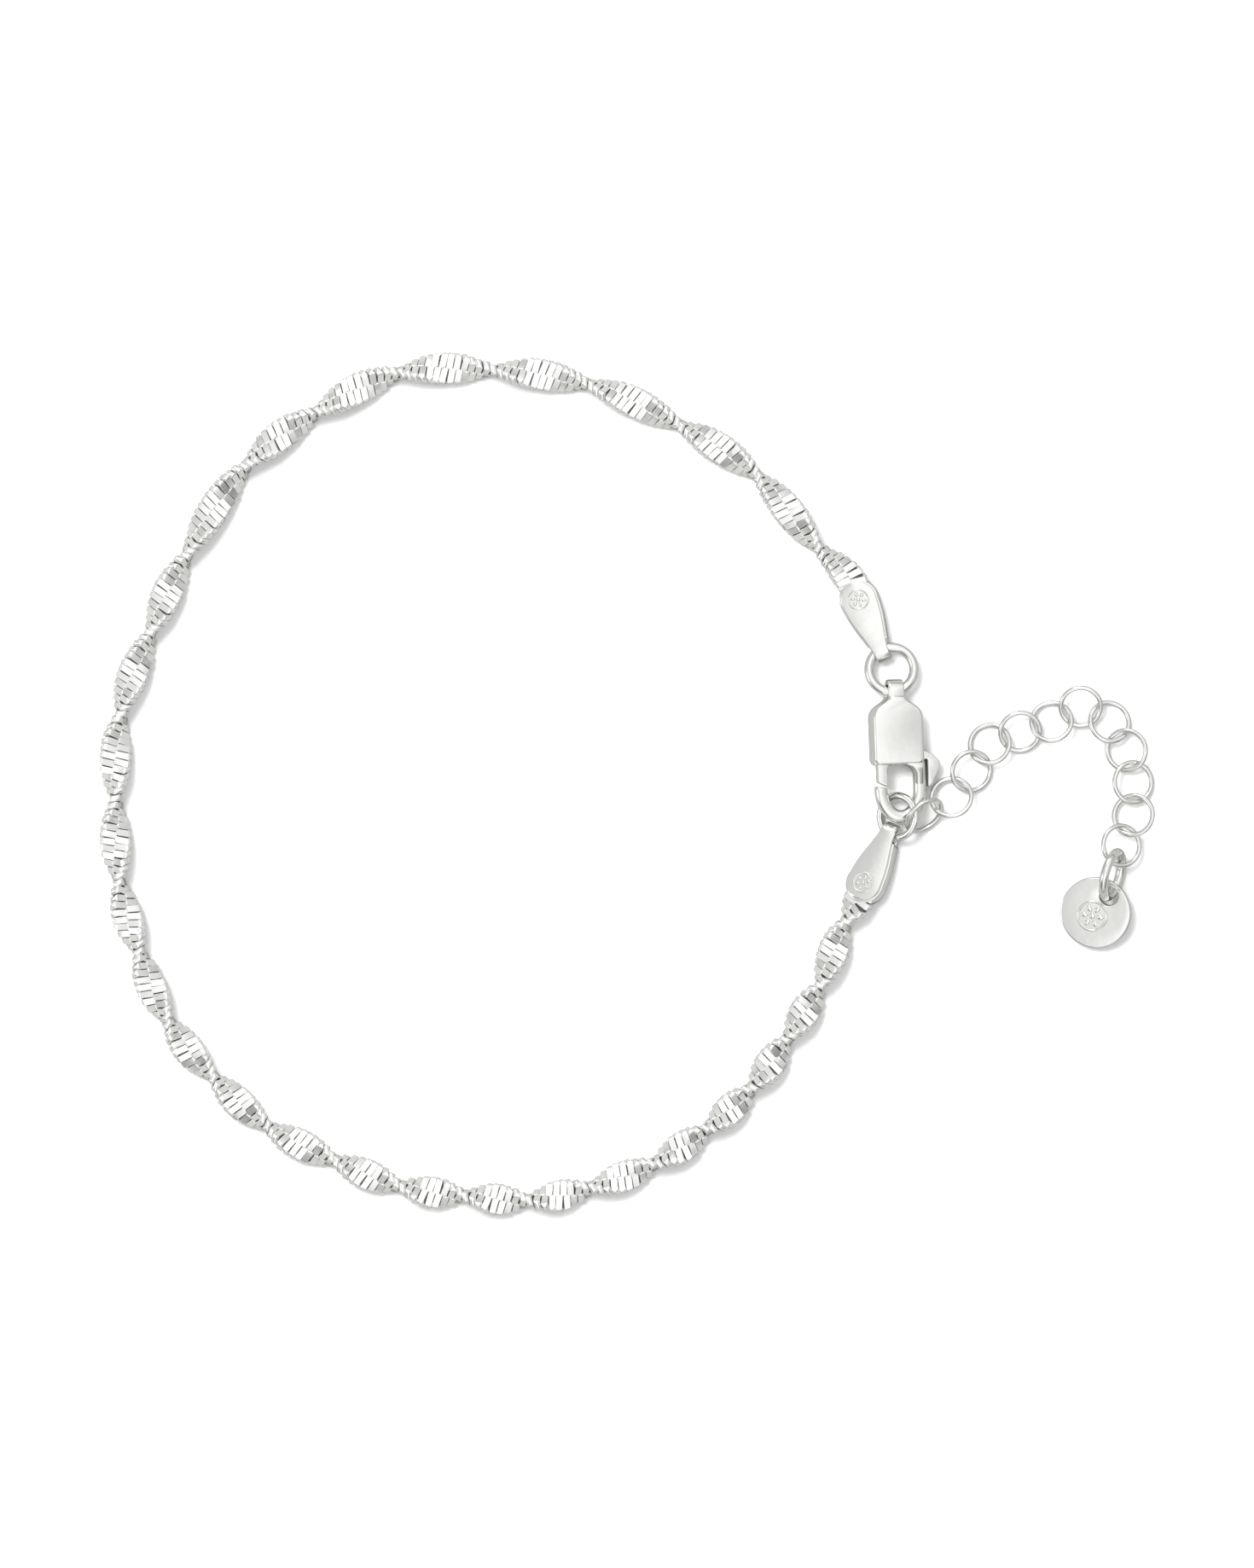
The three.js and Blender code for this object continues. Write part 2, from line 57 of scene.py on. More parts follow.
# %% [markdown]
# Sizes are in millimetres, as a goldsmith would write them down, and are turned to metres
# only when a mesh is made. A piece is shaped round its own origin and then moved by one
# matrix, so its object stays at the world's origin. If the objects were moved instead, the
# grain of the silver would start anew in each piece.


# %% Place
def pose(at, heading, roll=0.0, pitch=0.0):
    turn = Euler((radians(roll), radians(-pitch), radians(heading)), "XYZ")
    return Matrix.Translation(at) @ turn.to_matrix().to_4x4()


def node_middle(node):
    low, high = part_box(node)
    return (low + high) / 2 / MM


print("clasp's middle mm", [round(v, 2) for v in node_middle("clasp_body")])

# %% [markdown]
# Every shape is a list of points and faces in the end. One function makes the mesh, merges
# what coincides and turns the faces outwards. Others bake a modifier into it, and say which
# solids the finished piece stands for.

# %% Meshes
MERGE_WITHIN = 0.0001
UNMOVED = Matrix.Identity(4)


def add_object(name, data):
    made = bpy.data.objects.new(name, data)
    bpy.context.scene.collection.objects.link(made)
    return made


def add_mesh(name, points, faces, place=UNMOVED):
    mesh = bpy.data.meshes.new(name)
    mesh.from_pydata([Vector(p) for p in points], [], faces)
    mesh.transform(Matrix.Scale(MM, 4) @ place)
    mesh.validate()
    made = bmesh.new()
    made.from_mesh(mesh)
    bmesh.ops.remove_doubles(made, verts=made.verts, dist=MERGE_WITHIN * MM)
    bmesh.ops.recalc_face_normals(made, faces=made.faces)
    made.to_mesh(mesh)
    made.free()
    mesh.shade_smooth()
    return add_object(name, mesh)


def join(name, pieces):
    made = bmesh.new()
    for piece in pieces:
        made.from_mesh(piece.data)
    mesh = bpy.data.meshes.new(name)
    made.to_mesh(mesh)
    made.free()
    for piece in pieces:
        bpy.data.objects.remove(piece)
    return add_object(name, mesh)


def bake(piece, modifier):
    bpy.context.view_layer.update()
    graph = bpy.context.evaluated_depsgraph_get()
    mesh = bpy.data.meshes.new_from_object(piece.evaluated_get(graph))
    piece.modifiers.remove(modifier)
    unbaked, piece.data = piece.data, mesh
    bpy.data.meshes.remove(unbaked)
    mesh.name = piece.name


def part_of(body, slot, piece, *solids):
    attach(piece, body)
    if solids:
        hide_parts(*solids)
    triangles = sum(len(face.vertices) - 2 for face in piece.data.polygons)
    print(piece.name, "triangles", triangles)


print("points closer than", MERGE_WITHIN, "mm are merged")

# %% [markdown]
# A loft joins one loop of points to the next, and closes both ends with a face. Strips,
# wires and bands are all lofts, because each has one section that runs along a path. A curve
# with a bevel could do the same, but here the section may change on the way.


# %% Loft
def loft(name, loops, place=UNMOVED, closed=False):
    count = len(loops[0])
    points = [p for loop in loops for p in loop]
    faces = []
    steps = len(loops) if closed else len(loops) - 1
    for k in range(steps):
        here, there = k * count, (k + 1) % len(loops) * count
        for j in range(count):
            after = (j + 1) % count
            faces.append((here + j, here + after, there + after, there + j))
    if not closed:
        faces.append(tuple(range(count))[::-1])
        faces.append(tuple(range(len(points) - count, len(points))))
    return add_mesh(name, points, faces, place)


def rounded_section(half_width, half_height, corner, corner_steps=3):
    most = 0.98
    corner = min(corner, half_width * most, half_height * most)
    section = []
    for quarter, (sx, sy) in enumerate([(1, 1), (-1, 1), (-1, -1), (1, -1)]):
        for step in range(corner_steps + 1):
            angle = pi / 2 * (quarter + step / corner_steps)
            x = sx * (half_width - corner) + corner * cos(angle)
            y = sy * (half_height - corner) + corner * sin(angle)
            section.append((x, y))
    return section


def circle(middle, radius, sides):
    turns = [tau * k / sides for k in range(sides)]
    return [(middle.x + radius * cos(a), middle.y + radius * sin(a)) for a in turns]


print("points in a rounded section", len(rounded_section(1, 1, 0.2)))

# %% [markdown]
# A plate is an outline with a thickness. Polished silver has no sharp edge, so the rim is
# rounded over in a few steps, each a little further in. A Bevel modifier would also round the
# corners of the outline, which have radii of their own here.

# %% Plate with rounded rims
RIM_STEPS = 4
TIGHTEST_MITRE = 0.35


def quarter_turn(steps):
    return [pi / 2 * k / steps for k in range(steps + 1)]


def inset(outline, depth):
    points = np.array(outline, float)
    before, after = np.roll(points, 1, 0), np.roll(points, -1, 0)
    first = points - before
    second = after - points
    first /= np.linalg.norm(first, axis=1)[:, None]
    second /= np.linalg.norm(second, axis=1)[:, None]
    inward = np.stack([-(first + second)[:, 1], (first + second)[:, 0]], 1)
    inward /= np.linalg.norm(inward, axis=1)[:, None]
    mitre = np.clip((inward * np.stack([-first[:, 1], first[:, 0]], 1)).sum(1), TIGHTEST_MITRE, 1)
    return points + inward * (depth / mitre)[:, None]


def plate(name, outline, low, high, rim, place=UNMOVED):
    loops = []
    for angle in quarter_turn(RIM_STEPS):
        ring = inset(outline, rim * (1 - sin(angle)))
        loops.append([(x, y, low + rim * (1 - cos(angle))) for x, y in ring])
    for angle in quarter_turn(RIM_STEPS):
        ring = inset(outline, rim * (1 - cos(angle)))
        loops.append([(x, y, high - rim * (1 - sin(angle))) for x, y in ring])
    return loft(name, loops, place)


print("loops in a plate", 2 * (RIM_STEPS + 1))


# %% [markdown]
# Colours are written in hex, as a designer picks them, and one function makes them linear, as
# the renderer wants them. Another adds a node with its settings and its links.


# %% Colours and nodes
def linear(hex_colour):
    channels = [int(hex_colour[i : i + 2], 16) / 255 for i in (1, 3, 5)]
    return [c / 12.92 if c <= 0.04045 else ((c + 0.055) / 1.055) ** 2.4 for c in channels] + [1.0]


def node(tree, kind, settings=None, inputs=None):
    made = tree.nodes.new(kind)
    for key, value in (settings or {}).items():
        setattr(made, key, value)
    for key, value in (inputs or {}).items():
        if isinstance(value, bpy.types.NodeSocket):
            tree.links.new(value, made.inputs[key])
        else:
            made.inputs[key].default_value = value
    return made


def new_material(name):
    material = bpy.data.materials.new(name)
    material.use_nodes = True
    material.node_tree.nodes.clear()
    return material, material.node_tree


print("white paper in linear", round(linear("#FBFBFB")[0], 3))

# %% [markdown]
# Sterling silver reflects almost everything, and so shows little colour of its own. Rolling,
# drawing and polishing leave hairlines and faint ripples, which break up the reflections. The
# roughness and the bump come from noise whose grain is worked out from sizes in mm, because
# a flat colour with one roughness would look like chrome plate.

# %% Sterling silver
HAIRLINES_PER_MM = (9.0, 1.5, 3.0)
RIPPLE_DEPTH, HAIRLINE_DEPTH = 0.05, 0.004


def sterling(name, colours, roughness, ripple_mm, ripple, hairline, metallic=1.0):
    material, tree = new_material(name)
    where = node(tree, "ShaderNodeTexCoord").outputs["Object"]
    ripples = node(tree, "ShaderNodeTexNoise", None, {
        "Vector": where, "Scale": 1 / (ripple_mm * MM), "Detail": 3.0, "Roughness": 0.5})
    stretched = node(tree, "ShaderNodeMapping", None, {
        "Vector": where, "Scale": [count / MM for count in HAIRLINES_PER_MM]})
    hairlines = node(tree, "ShaderNodeTexNoise", None, {
        "Vector": stretched.outputs[0], "Scale": 1.0, "Detail": 2.0})
    tone = node(tree, "ShaderNodeMix", {"data_type": "RGBA"}, {
        0: ripples.outputs["Fac"], 6: linear(colours[0]), 7: linear(colours[1])})
    rough = node(tree, "ShaderNodeMapRange", None, {
        "Value": hairlines.outputs["Fac"], "To Min": roughness[0], "To Max": roughness[1]})
    soft = node(tree, "ShaderNodeBump", None, {
        "Height": ripples.outputs["Fac"], "Strength": ripple, "Distance": RIPPLE_DEPTH * MM})
    fine = node(tree, "ShaderNodeBump", None, {
        "Height": hairlines.outputs["Fac"], "Strength": hairline,
        "Distance": HAIRLINE_DEPTH * MM, "Normal": soft.outputs[0]})
    shader = node(tree, "ShaderNodeBsdfPrincipled", None, {
        "Base Color": tone.outputs[2], "Metallic": metallic, "Roughness": rough.outputs[0],
        "Normal": fine.outputs[0]})
    node(tree, "ShaderNodeOutputMaterial", None, {"Surface": shader.outputs[0]})
    return material


# Buffed sheet: a soft mirror whose reflections swim a little
polished_silver = sterling("sterling_silver_polished", ("#F5F5F3", "#EFEFEC"), (0.07, 0.15), 2.2, 0.8, 0.15)
# Rolled flat links: each one flashes as a whole, and its fine scratches scatter some light,
# so this finish isn't metallic all the way
woven_silver = sterling("sterling_silver_woven_links", ("#FCFCFB", "#F6F6F4"), (0.12, 0.22),
                        0.9, 0.4, 0.15, 0.9)
# Drawn wire: bright lines along the wire, slightly grainy at their edges
wire_silver = sterling("sterling_silver_drawn_wire", ("#F4F4F2", "#E9E9E6"), (0.08, 0.16), 0.6, 0.2, 0.2)
# Painted shade for the gaps: a grey, dull silver for the band's core, so the depth between the links reads
# dark
shadowed_silver = sterling("sterling_silver_in_the_gaps", ("#72736F", "#5C5D5A"), (0.4, 0.6), 0.3, 0.4, 0.2)
print("materials", len(bpy.data.materials))

# %% [markdown]
# Everything lies where the solids lie. A ring's middle is the middle of its solid's box, and
# the clasp's place comes from the pin that its lever turns on. The turns can't be read from a
# box, so they are given here in degrees: heading round the vertical, then roll and pitch.

# %% Places of clasp and rings
CLASP_WIDTH, CLASP_THICKNESS = 3.6, 2.0
CLASP_TILT, CLASP_LEAN = radians(12.0), radians(2.0)
PIN = Vector((0.12, -4.31, 0))

clasp_turn = Euler((0, CLASP_TILT, CLASP_LEAN), "XYZ").to_matrix()
pin_at = Vector(frame["joints"][0]["pos_m"]) / MM
clasp_place = Matrix.Translation(pin_at - clasp_turn @ PIN) @ clasp_turn.to_4x4()
# Clasp, chain and tag lie at one level, which is that of the clasp's lowest edge
clasp_rise = CLASP_WIDTH / 2 * sin(CLASP_TILT) + CLASP_THICKNESS / 2 * cos(CLASP_TILT)
level = clasp_place.translation.z - clasp_rise
upper_ring_place = pose(node_middle("jump_ring_upper"), heading=109.6, roll=3, pitch=-8)
hook_ring_place = pose(node_middle("jump_ring_lower"), heading=90, roll=-34)
tag_ring_place = pose(node_middle("tag_ring"), heading=-105.3, roll=-68)
print("clasp eye at", [round(v, 2) for v in clasp_place.translation], "level", round(level, 3))

# %% [markdown]
# Both end caps hang on a ring. Each is placed by the angle at which it sits on its ring, and
# by its own turns, so it stays on the ring if the ring's size changes.

# %% Places of the caps
# Diameter and wire of each kind of ring
JUMP_RING, HOOK_RING = (3.84, 0.66), (3.45, 0.5)
UPPER_CAP_ROLL, LOWER_CAP_ROLL = -6, 20


def on_ring(place, ring, angle):
    radius = (ring[0] - ring[1]) / 2
    return place @ Vector((radius * cos(radians(angle)), radius * sin(radians(angle)), 0))


upper_hold = on_ring(upper_ring_place, JUMP_RING, angle=8)
lower_hold = on_ring(hook_ring_place, HOOK_RING, angle=152)
upper_cap_place = pose(upper_hold, heading=113.5, roll=UPPER_CAP_ROLL)
lower_cap_place = pose(lower_hold, heading=244.3, roll=LOWER_CAP_ROLL, pitch=4)
print("caps at", [round(v, 2) for v in upper_hold], [round(v, 2) for v in lower_hold])

# %% [markdown]
# The chain is a flat herringbone: two columns of flattened links that meet in a zigzag seam.
# The band is then twisted to the right, so its edge comes up once in every half turn. The
# points below are those places. A smooth curve goes through them, as in the solid band.

# %% The chain's path
BAND_WIDTH, BAND_THICKNESS = 2.25, 0.75
CAP_MOUTH, CAP_POCKET, GAP = 5.24, 1.5, 0.1
PATH_SAMPLES = 60
CLASP_EYE = Vector((18.83, 6.51))
ON_EDGE = [
    (13.41, 16.71), (9.09, 21.75), (3.63, 25.29), (-2.73, 28.11), (-9.45, 29.13), (-16.05, 28.89),
    (-21.87, 26.13), (-26.73, 22.41), (-30.99, 16.05), (-33.51, 10.59), (-35.61, 4.89),
    (-35.97, -1.17), (-35.67, -6.87), (-34.29, -11.85), (-32.25, -16.65), (-29.01, -20.67),
    (-25.17, -24.09), (-20.43, -26.49), (-15.87, -28.29), (-11.31, -28.95), (-6.81, -29.25),
    (-2.43, -28.35), (2.07, -26.61), (5.73, -24.21), (8.79, -21.33), (11.37, -17.79),
    (13.59, -14.13), (15.39, -9.63),
]


def chain_stations():
    inside = Vector((CAP_MOUTH - CAP_POCKET + GAP, 0, 0))
    mouth = Vector((CAP_MOUTH + GAP, 0, 0))
    first = (UPPER_CAP_ROLL - 90) / 180
    last = len(ON_EDGE) - 1 + (90 - LOWER_CAP_ROLL) / 180
    shift = clasp_place.translation.xy - CLASP_EYE
    stations = [(upper_cap_place @ inside, first), (upper_cap_place @ mouth, first)]
    for i, (x, y) in enumerate(ON_EDGE):
        stations.append((Vector((x + shift.x, y + shift.y, level + BAND_WIDTH / 2)), i))
    return stations + [(lower_cap_place @ mouth, last), (lower_cap_place @ inside, last)]


def through_points(p0, p1, p2, p3, share):
    d0, d1, d2 = ((b - a).length ** 0.5 for a, b in ((p0, p1), (p1, p2), (p2, p3)))
    t1 = ((p1 - p0) / d0 - (p2 - p0) / (d0 + d1) + (p2 - p1) / d1) * d1
    t2 = ((p2 - p1) / d1 - (p3 - p1) / (d1 + d2) + (p3 - p2) / d2) * d1
    c2 = -3 * p1 + 3 * p2 - 2 * t1 - t2
    c3 = 2 * p1 - 2 * p2 + t1 + t2
    return p1 + t1 * share + c2 * share**2 + c3 * share**3


def chain_path():
    stations = chain_stations()
    at = [s[0] for s in stations]
    at = [2 * at[0] - at[1]] + at + [2 * at[-1] - at[-2]]
    points, turns = [], []
    for k in range(len(stations) - 1):
        for i in range(PATH_SAMPLES):
            share = i / PATH_SAMPLES
            points.append(through_points(*at[k : k + 4], share))
            turns.append(stations[k][1] + (stations[k + 1][1] - stations[k][1]) * share)
    return np.array(points), np.array(turns)


path, half_turns = chain_path()
path_length = np.concatenate([[0], np.cumsum(np.linalg.norm(np.diff(path, axis=0), axis=1))])
print("chain length mm", round(path_length[-1], 1), "half turns", round(half_turns[-1] - half_turns[0], 2))

# %% [markdown]
# One flattened link is a turn of a coil pressed flat: a small block, half the band wide, that
# leans one way on the front and the other way on the back. Its outer end is rounded, which
# gives the band its scalloped edge, and its inner end has a blunt point that sits between two
# links of the other column, so the seam runs in waves. A few sections are enough, because
# the link is repeated hundreds of times.

# %% One flattened link
LINK_PITCH, LINK_REACH, LINK_EDGE = 0.5, 1.1, 0.025
# How far from the band's middle, half the breadth there and half the thickness
LINK_SECTIONS = [
    (-0.035, 0.03, 0.33), (0.03, 0.21, 0.355), (0.06, 0.233, 0.375), (0.82, 0.233, 0.375),
    (0.95, 0.218, 0.35), (1.04, 0.165, 0.3), (LINK_REACH, 0.08, 0.2),
]
# The faces lean by a quarter of the pitch at each end, so both sides have the same seam
LINK_COIL = LINK_PITCH / 4 / (LINK_REACH / 2) / (BAND_THICKNESS / 2)
SHARP_ANGLE = radians(32.0)


def flattened_link():
    loops = []
    for x, half_breadth, half_depth in LINK_SECTIONS:
        section = rounded_section(half_breadth, half_depth, LINK_EDGE, 1)
        loops.append([(x, a - LINK_COIL * (x - LINK_REACH / 2) * b, b) for a, b in section])
    link = loft("flattened_link", loops)
    link.data.set_sharp_from_angle(angle=SHARP_ANGLE)
    return link


link_pattern = flattened_link()
print("faces in one link", len(link_pattern.data.polygons))

# %% [markdown]
# At any distance along the chain, the band has a middle, a way that it runs and a way that
# its width points. The rows of links are points that carry both directions.

# %% Rows of points
LOOK_ABOUT, FIRST_ROW, FREE_ENDS = 0.05, 0.2, 0.4


def path_point(distance):
    return np.array([np.interp(distance, path_length, path[:, i]) for i in range(3)])


def band_frame(distance):
    ahead, behind = path_point(distance + LOOK_ABOUT), path_point(distance - LOOK_ABOUT)
    along = Vector(ahead - behind).normalized()
    turn = pi * np.interp(distance, path_length, half_turns)
    across = (Vector((0, 0, 1)) - along * along.z).normalized()
    across.rotate(Matrix.Rotation(turn, 3, along))
    return Vector(path_point(distance)), along, across


def link_rows():
    points, alongs, acrosses = [], [], []
    for row in range(int((path_length[-1] - FREE_ENDS) / LINK_PITCH)):
        at, along, across = band_frame(FIRST_ROW + row * LINK_PITCH)
        for side in (1, -1):
            points.append(at * MM)
            alongs.append(along * side)
            acrosses.append(across * side)
    return points, alongs, acrosses


def points_with_directions(name, points, **directions):
    mesh = bpy.data.meshes.new(name)
    mesh.from_pydata(points, [], [])
    for key, values in directions.items():
        attribute = mesh.attributes.new(key, "FLOAT_VECTOR", "POINT")
        attribute.data.foreach_set("vector", np.array(values, np.float32).ravel())
    return add_object(name, mesh)


link_points, alongs, acrosses = link_rows()
chain_links = points_with_directions("chain_links", link_points, along=alongs, across=acrosses)
print("links", len(link_points))

# %% [markdown]
# Geometry Nodes put a shape on every point, turned to the point's own two directions. Links
# and rings both do this, so what their trees share comes first: the inputs, the turn, and an
# end that makes the copies real and gives them their material.


# %% What every tree shares
def new_tree(name, sockets):
    tree = bpy.data.node_groups.new(name, "GeometryNodeTree")
    tree.interface.new_socket("Geometry", in_out="INPUT", socket_type="NodeSocketGeometry")
    keys = {}
    for label, kind in sockets:
        socket = tree.interface.new_socket(label, in_out="INPUT", socket_type="NodeSocket" + kind)
        keys[label] = socket.identifier
    tree.interface.new_socket("Geometry", in_out="OUTPUT", socket_type="NodeSocketGeometry")
    return tree, node(tree, "NodeGroupInput").outputs, keys


def turned_to(tree, *names):
    x, y = (node(tree, "GeometryNodeInputNamedAttribute", {"data_type": "FLOAT_VECTOR"}, {"Name": name})
            for name in names)
    return node(tree, "FunctionNodeAxesToRotation", {"primary_axis": "X", "secondary_axis": "Y"}, {
        "Primary Axis": x.outputs[0], "Secondary Axis": y.outputs[0]}).outputs[0]


def finish_tree(tree, instances, material):
    real = node(tree, "GeometryNodeRealizeInstances", None, {0: instances})
    faced = node(tree, "GeometryNodeSetMaterial", None, {"Geometry": real.outputs[0], "Material": material})
    node(tree, "NodeGroupOutput", None, {0: faced.outputs[0]})


def grow(piece, tree, keys, **values):
    modifier = piece.modifiers.new(tree.name, "NODES")
    modifier.node_group = tree
    for label, value in values.items():
        modifier[keys[label]] = value
    bake(piece, modifier)


# %% [markdown]
# In the real chain no two links lie quite alike. A tiny random tilt from a fixed seed does
# that. Without it, whole rows would flash together.

# %% Links on the rows
LINK_TILT, LINK_SEED = radians(3.0), 7


def link_tree():
    tree, given, keys = new_tree("herringbone_links", [
        ("Link", "Object"), ("Tilt", "Float"), ("Seed", "Int"), ("Material", "Material")])
    link = node(tree, "GeometryNodeObjectInfo", {"transform_space": "ORIGINAL"}, {"Object": given["Link"]})
    least = node(tree, "ShaderNodeMath", {"operation": "MULTIPLY"}, {0: given["Tilt"], 1: -1.0})
    tilts = node(tree, "FunctionNodeRandomValue", {"data_type": "FLOAT_VECTOR"}, {
        "Min": least.outputs[0], "Max": given["Tilt"], "Seed": given["Seed"]})
    spin = node(tree, "FunctionNodeEulerToRotation", None, {0: tilts.outputs[0]})
    turn = node(tree, "FunctionNodeRotateRotation", {"rotation_space": "LOCAL"}, {
        0: turned_to(tree, "across", "along"), 1: spin.outputs[0]})
    on_points = node(tree, "GeometryNodeInstanceOnPoints", None, {
        "Points": given["Geometry"], "Instance": link.outputs["Geometry"], "Rotation": turn.outputs[0]})
    finish_tree(tree, on_points.outputs[0], given["Material"])
    return tree, keys


tree, keys = link_tree()
grow(chain_links, tree, keys, Link=link_pattern, Tilt=LINK_TILT, Seed=LINK_SEED, Material=woven_silver)
bpy.data.objects.remove(link_pattern)
part_of("bracelet", "chain_silver", chain_links, "chain")

# %% [markdown]
# Between the links one looks into the band's core, not through the band. A thin core stands for
# the hidden halves of the links, which would need as many faces again as what shows. Its silver
# is painted dark grey, as painted shade in the gaps.

# %% Core of the band
CORE_SIDE, CORE_FACE, CORE_CORNER = 0.2, 0.16, 0.1
CORE_STEP, CORE_SHORTER = 0.4, 0.06


def band_core():
    loops = []
    section = rounded_section(BAND_WIDTH / 2 - CORE_SIDE, BAND_THICKNESS / 2 - CORE_FACE,
                              CORE_CORNER, 1)
    steps = int(path_length[-1] / CORE_STEP)
    for k in range(steps + 1):
        at, along, across = band_frame(CORE_SHORTER + (path_length[-1] - 2 * CORE_SHORTER) * k / steps)
        through = along.cross(across)
        loops.append([at + across * a + through * b for a, b in section])
    return loft("chain_core", loops)


chain_core = band_core()
# The core's dark grey colour is painted shade between the links
chain_core.data.materials.append(shadowed_silver)
part_of("bracelet", "chain_silver", chain_core)

# %% [markdown]
# An end cap is one strip of silver, folded over its ring at the narrow end. The lower leaf
# is a cup that holds the chain, and the upper leaf lies on it, a little smaller all round.
# Seen from above both follow one outline: straight flanks with a slight S, and a round bow.

# %% Outline of a cap
CAP_THICKNESS, CAP_FOLD_WIDTH, CAP_WIDE, CAP_LENGTH = 1.5, 1.2, 2.78, 3.85
LEAF_THICKNESS, LEAF_INSET, FOLD_REACH = 0.3, 0.13, 0.12
FLANK_WAVE = 0.085


def cap_half_width(x, inward):
    fold_half, wide = CAP_FOLD_WIDTH / 2 - inward, CAP_WIDE / 2 - inward
    fold_end = -FOLD_REACH - CAP_THICKNESS / 2
    taper = asin((wide - fold_half) / CAP_LENGTH)
    meet_x, meet_y = CAP_LENGTH - wide * sin(taper), wide * cos(taper)
    if x < meet_x:
        share = (x - fold_end) / (meet_x - fold_end)
        return fold_half + (meet_y - fold_half) * (share - FLANK_WAVE * sin(tau * share))
    return sqrt(max(wide**2 - (x - CAP_LENGTH) ** 2, 0))


print("half the cap's width mm", round(cap_half_width(CAP_LENGTH / 2, 0), 2))

# %% [markdown]
# The leaf is a loft along the strip: from the bow's tip, along the top, round the fold and
# back underneath. The strip thins out at its tip, which rounds that edge.

# %% Folded leaf
BOW_STEPS, RUN_STEPS, FOLD_STEPS, BACK_STEPS, BACK_LENGTH = 12, 10, 16, 6, 2.4
LEAF_EDGE, THINNEST_SHARE, NARROWEST = 0.09, 0.25, 0.03


def leaf_stations():
    radius = (CAP_THICKNESS - LEAF_THICKNESS) / 2
    wide = CAP_WIDE / 2 - LEAF_INSET
    stations = [(CAP_LENGTH + wide * cos(a), radius, 0.0) for a in quarter_turn(BOW_STEPS)]
    for k in range(1, RUN_STEPS):
        stations.append((CAP_LENGTH * (1 - k / RUN_STEPS) - FOLD_REACH * k / RUN_STEPS, radius, 0.0))
    for k in range(FOLD_STEPS + 1):
        angle = pi * k / FOLD_STEPS
        stations.append((-FOLD_REACH - radius * sin(angle), radius * cos(angle), angle))
    for k in range(1, BACK_STEPS + 1):
        stations.append((-FOLD_REACH + BACK_LENGTH * k / BACK_STEPS, -radius, pi))
    return stations


def folded_leaf(place):
    loops = []
    for x, z, angle in leaf_stations():
        near = min((CAP_MOUTH - LEAF_INSET - x) / LEAF_EDGE, 1) if angle == 0 else 1
        thin = max(sqrt(max(1 - (1 - near) ** 2, 0)), THINNEST_SHARE)
        half = max(cap_half_width(x, LEAF_INSET), NARROWEST)
        section = rounded_section(half, LEAF_THICKNESS / 2 * thin, LEAF_EDGE)
        out = Vector((-sin(angle), 0, cos(angle)))
        loops.append([Vector((x, a, z)) + out * b for a, b in section])
    return loft("leaf", loops, place)


print("stations along the leaf", len(leaf_stations()))

# %% [markdown]
# The cup under the leaf is a plate with the full outline. It is solid here, because the
# chain fills it and its inside never shows.

# %% Cup
CUP_START, CUP_RIM, SHEETS_APART = 0.5, 0.12, 0.03
FLANK_STEPS, HALF_BOW_STEPS = 16, 32


def cap_cup(place):
    wide = CAP_WIDE / 2
    flank = [CUP_START + (CAP_LENGTH - CUP_START) * k / FLANK_STEPS for k in range(FLANK_STEPS)]
    turns = [pi * k / HALF_BOW_STEPS for k in range(HALF_BOW_STEPS + 1)]
    outline = [(x, cap_half_width(x, 0)) for x in flank]
    outline += [(CAP_LENGTH + wide * sin(a), wide * cos(a)) for a in turns]
    outline += [(x, -cap_half_width(x, 0)) for x in reversed(flank)]
    outline.reverse()
    top = CAP_THICKNESS / 2 - LEAF_THICKNESS - SHEETS_APART
    return plate("cup", outline, -CAP_THICKNESS / 2, top, CUP_RIM, place)


print("cup is thick mm", round(CAP_THICKNESS - LEAF_THICKNESS - SHEETS_APART, 2))

# %% [markdown]
# The tag and the caps carry a plain six-petalled flower in low relief. Its petals are small
# domes inside a rounded rim. A bump map could draw it, but throws no real shadows.

# %% Rosette
PETALS, DOME_RINGS, DOME_SIDES, RIM_SIDES = 6, 4, 16, 48
# Shares of the rosette's diameter
MIDDLE_SIZE, PETAL_AT, PETAL_LONG, PETAL_BROAD, RIM_AT, RIM_BROAD = 0.1, 0.26, 0.12, 0.08, 0.46, 0.04
MIDDLE_HIGH, PETAL_HIGH, RIM_HIGH, RIM_LIFT = 0.12, 0.11, 0.09, 0.02


def dome(middle, length, breadth, height, heading):
    rings, sides = DOME_RINGS, DOME_SIDES
    points, faces = [], [tuple(range(sides))[::-1]]
    for angle_up in quarter_turn(rings)[:-1]:
        share = cos(angle_up)
        for j in range(sides):
            angle = tau * j / sides
            spot = Vector((length * share * cos(angle), breadth * share * sin(angle)))
            spot.rotate(Matrix.Rotation(heading, 2))
            points.append((middle[0] + spot.x, middle[1] + spot.y, height * sin(angle_up)))
    points.append((middle[0], middle[1], height))
    for j in range(sides):
        after = (j + 1) % sides
        for k in range(rings - 1):
            low, high = k * sides, (k + 1) * sides
            faces.append((low + j, low + after, high + after, high + j))
        faces.append(((rings - 1) * sides + j, (rings - 1) * sides + after, rings * sides))
    return points, faces


def rosette_rim(diameter, place):
    section = rounded_section(RIM_BROAD * diameter, RIM_HIGH, RIM_BROAD * diameter, 2)
    loops = []
    for x, y in circle(Vector(), 1, RIM_SIDES):
        out = Vector((x, y, 0))
        loops.append([out * (RIM_AT * diameter + a) + Vector((0, 0, b + RIM_LIFT)) for a, b in section])
    return loft("rim", loops, place, closed=True)


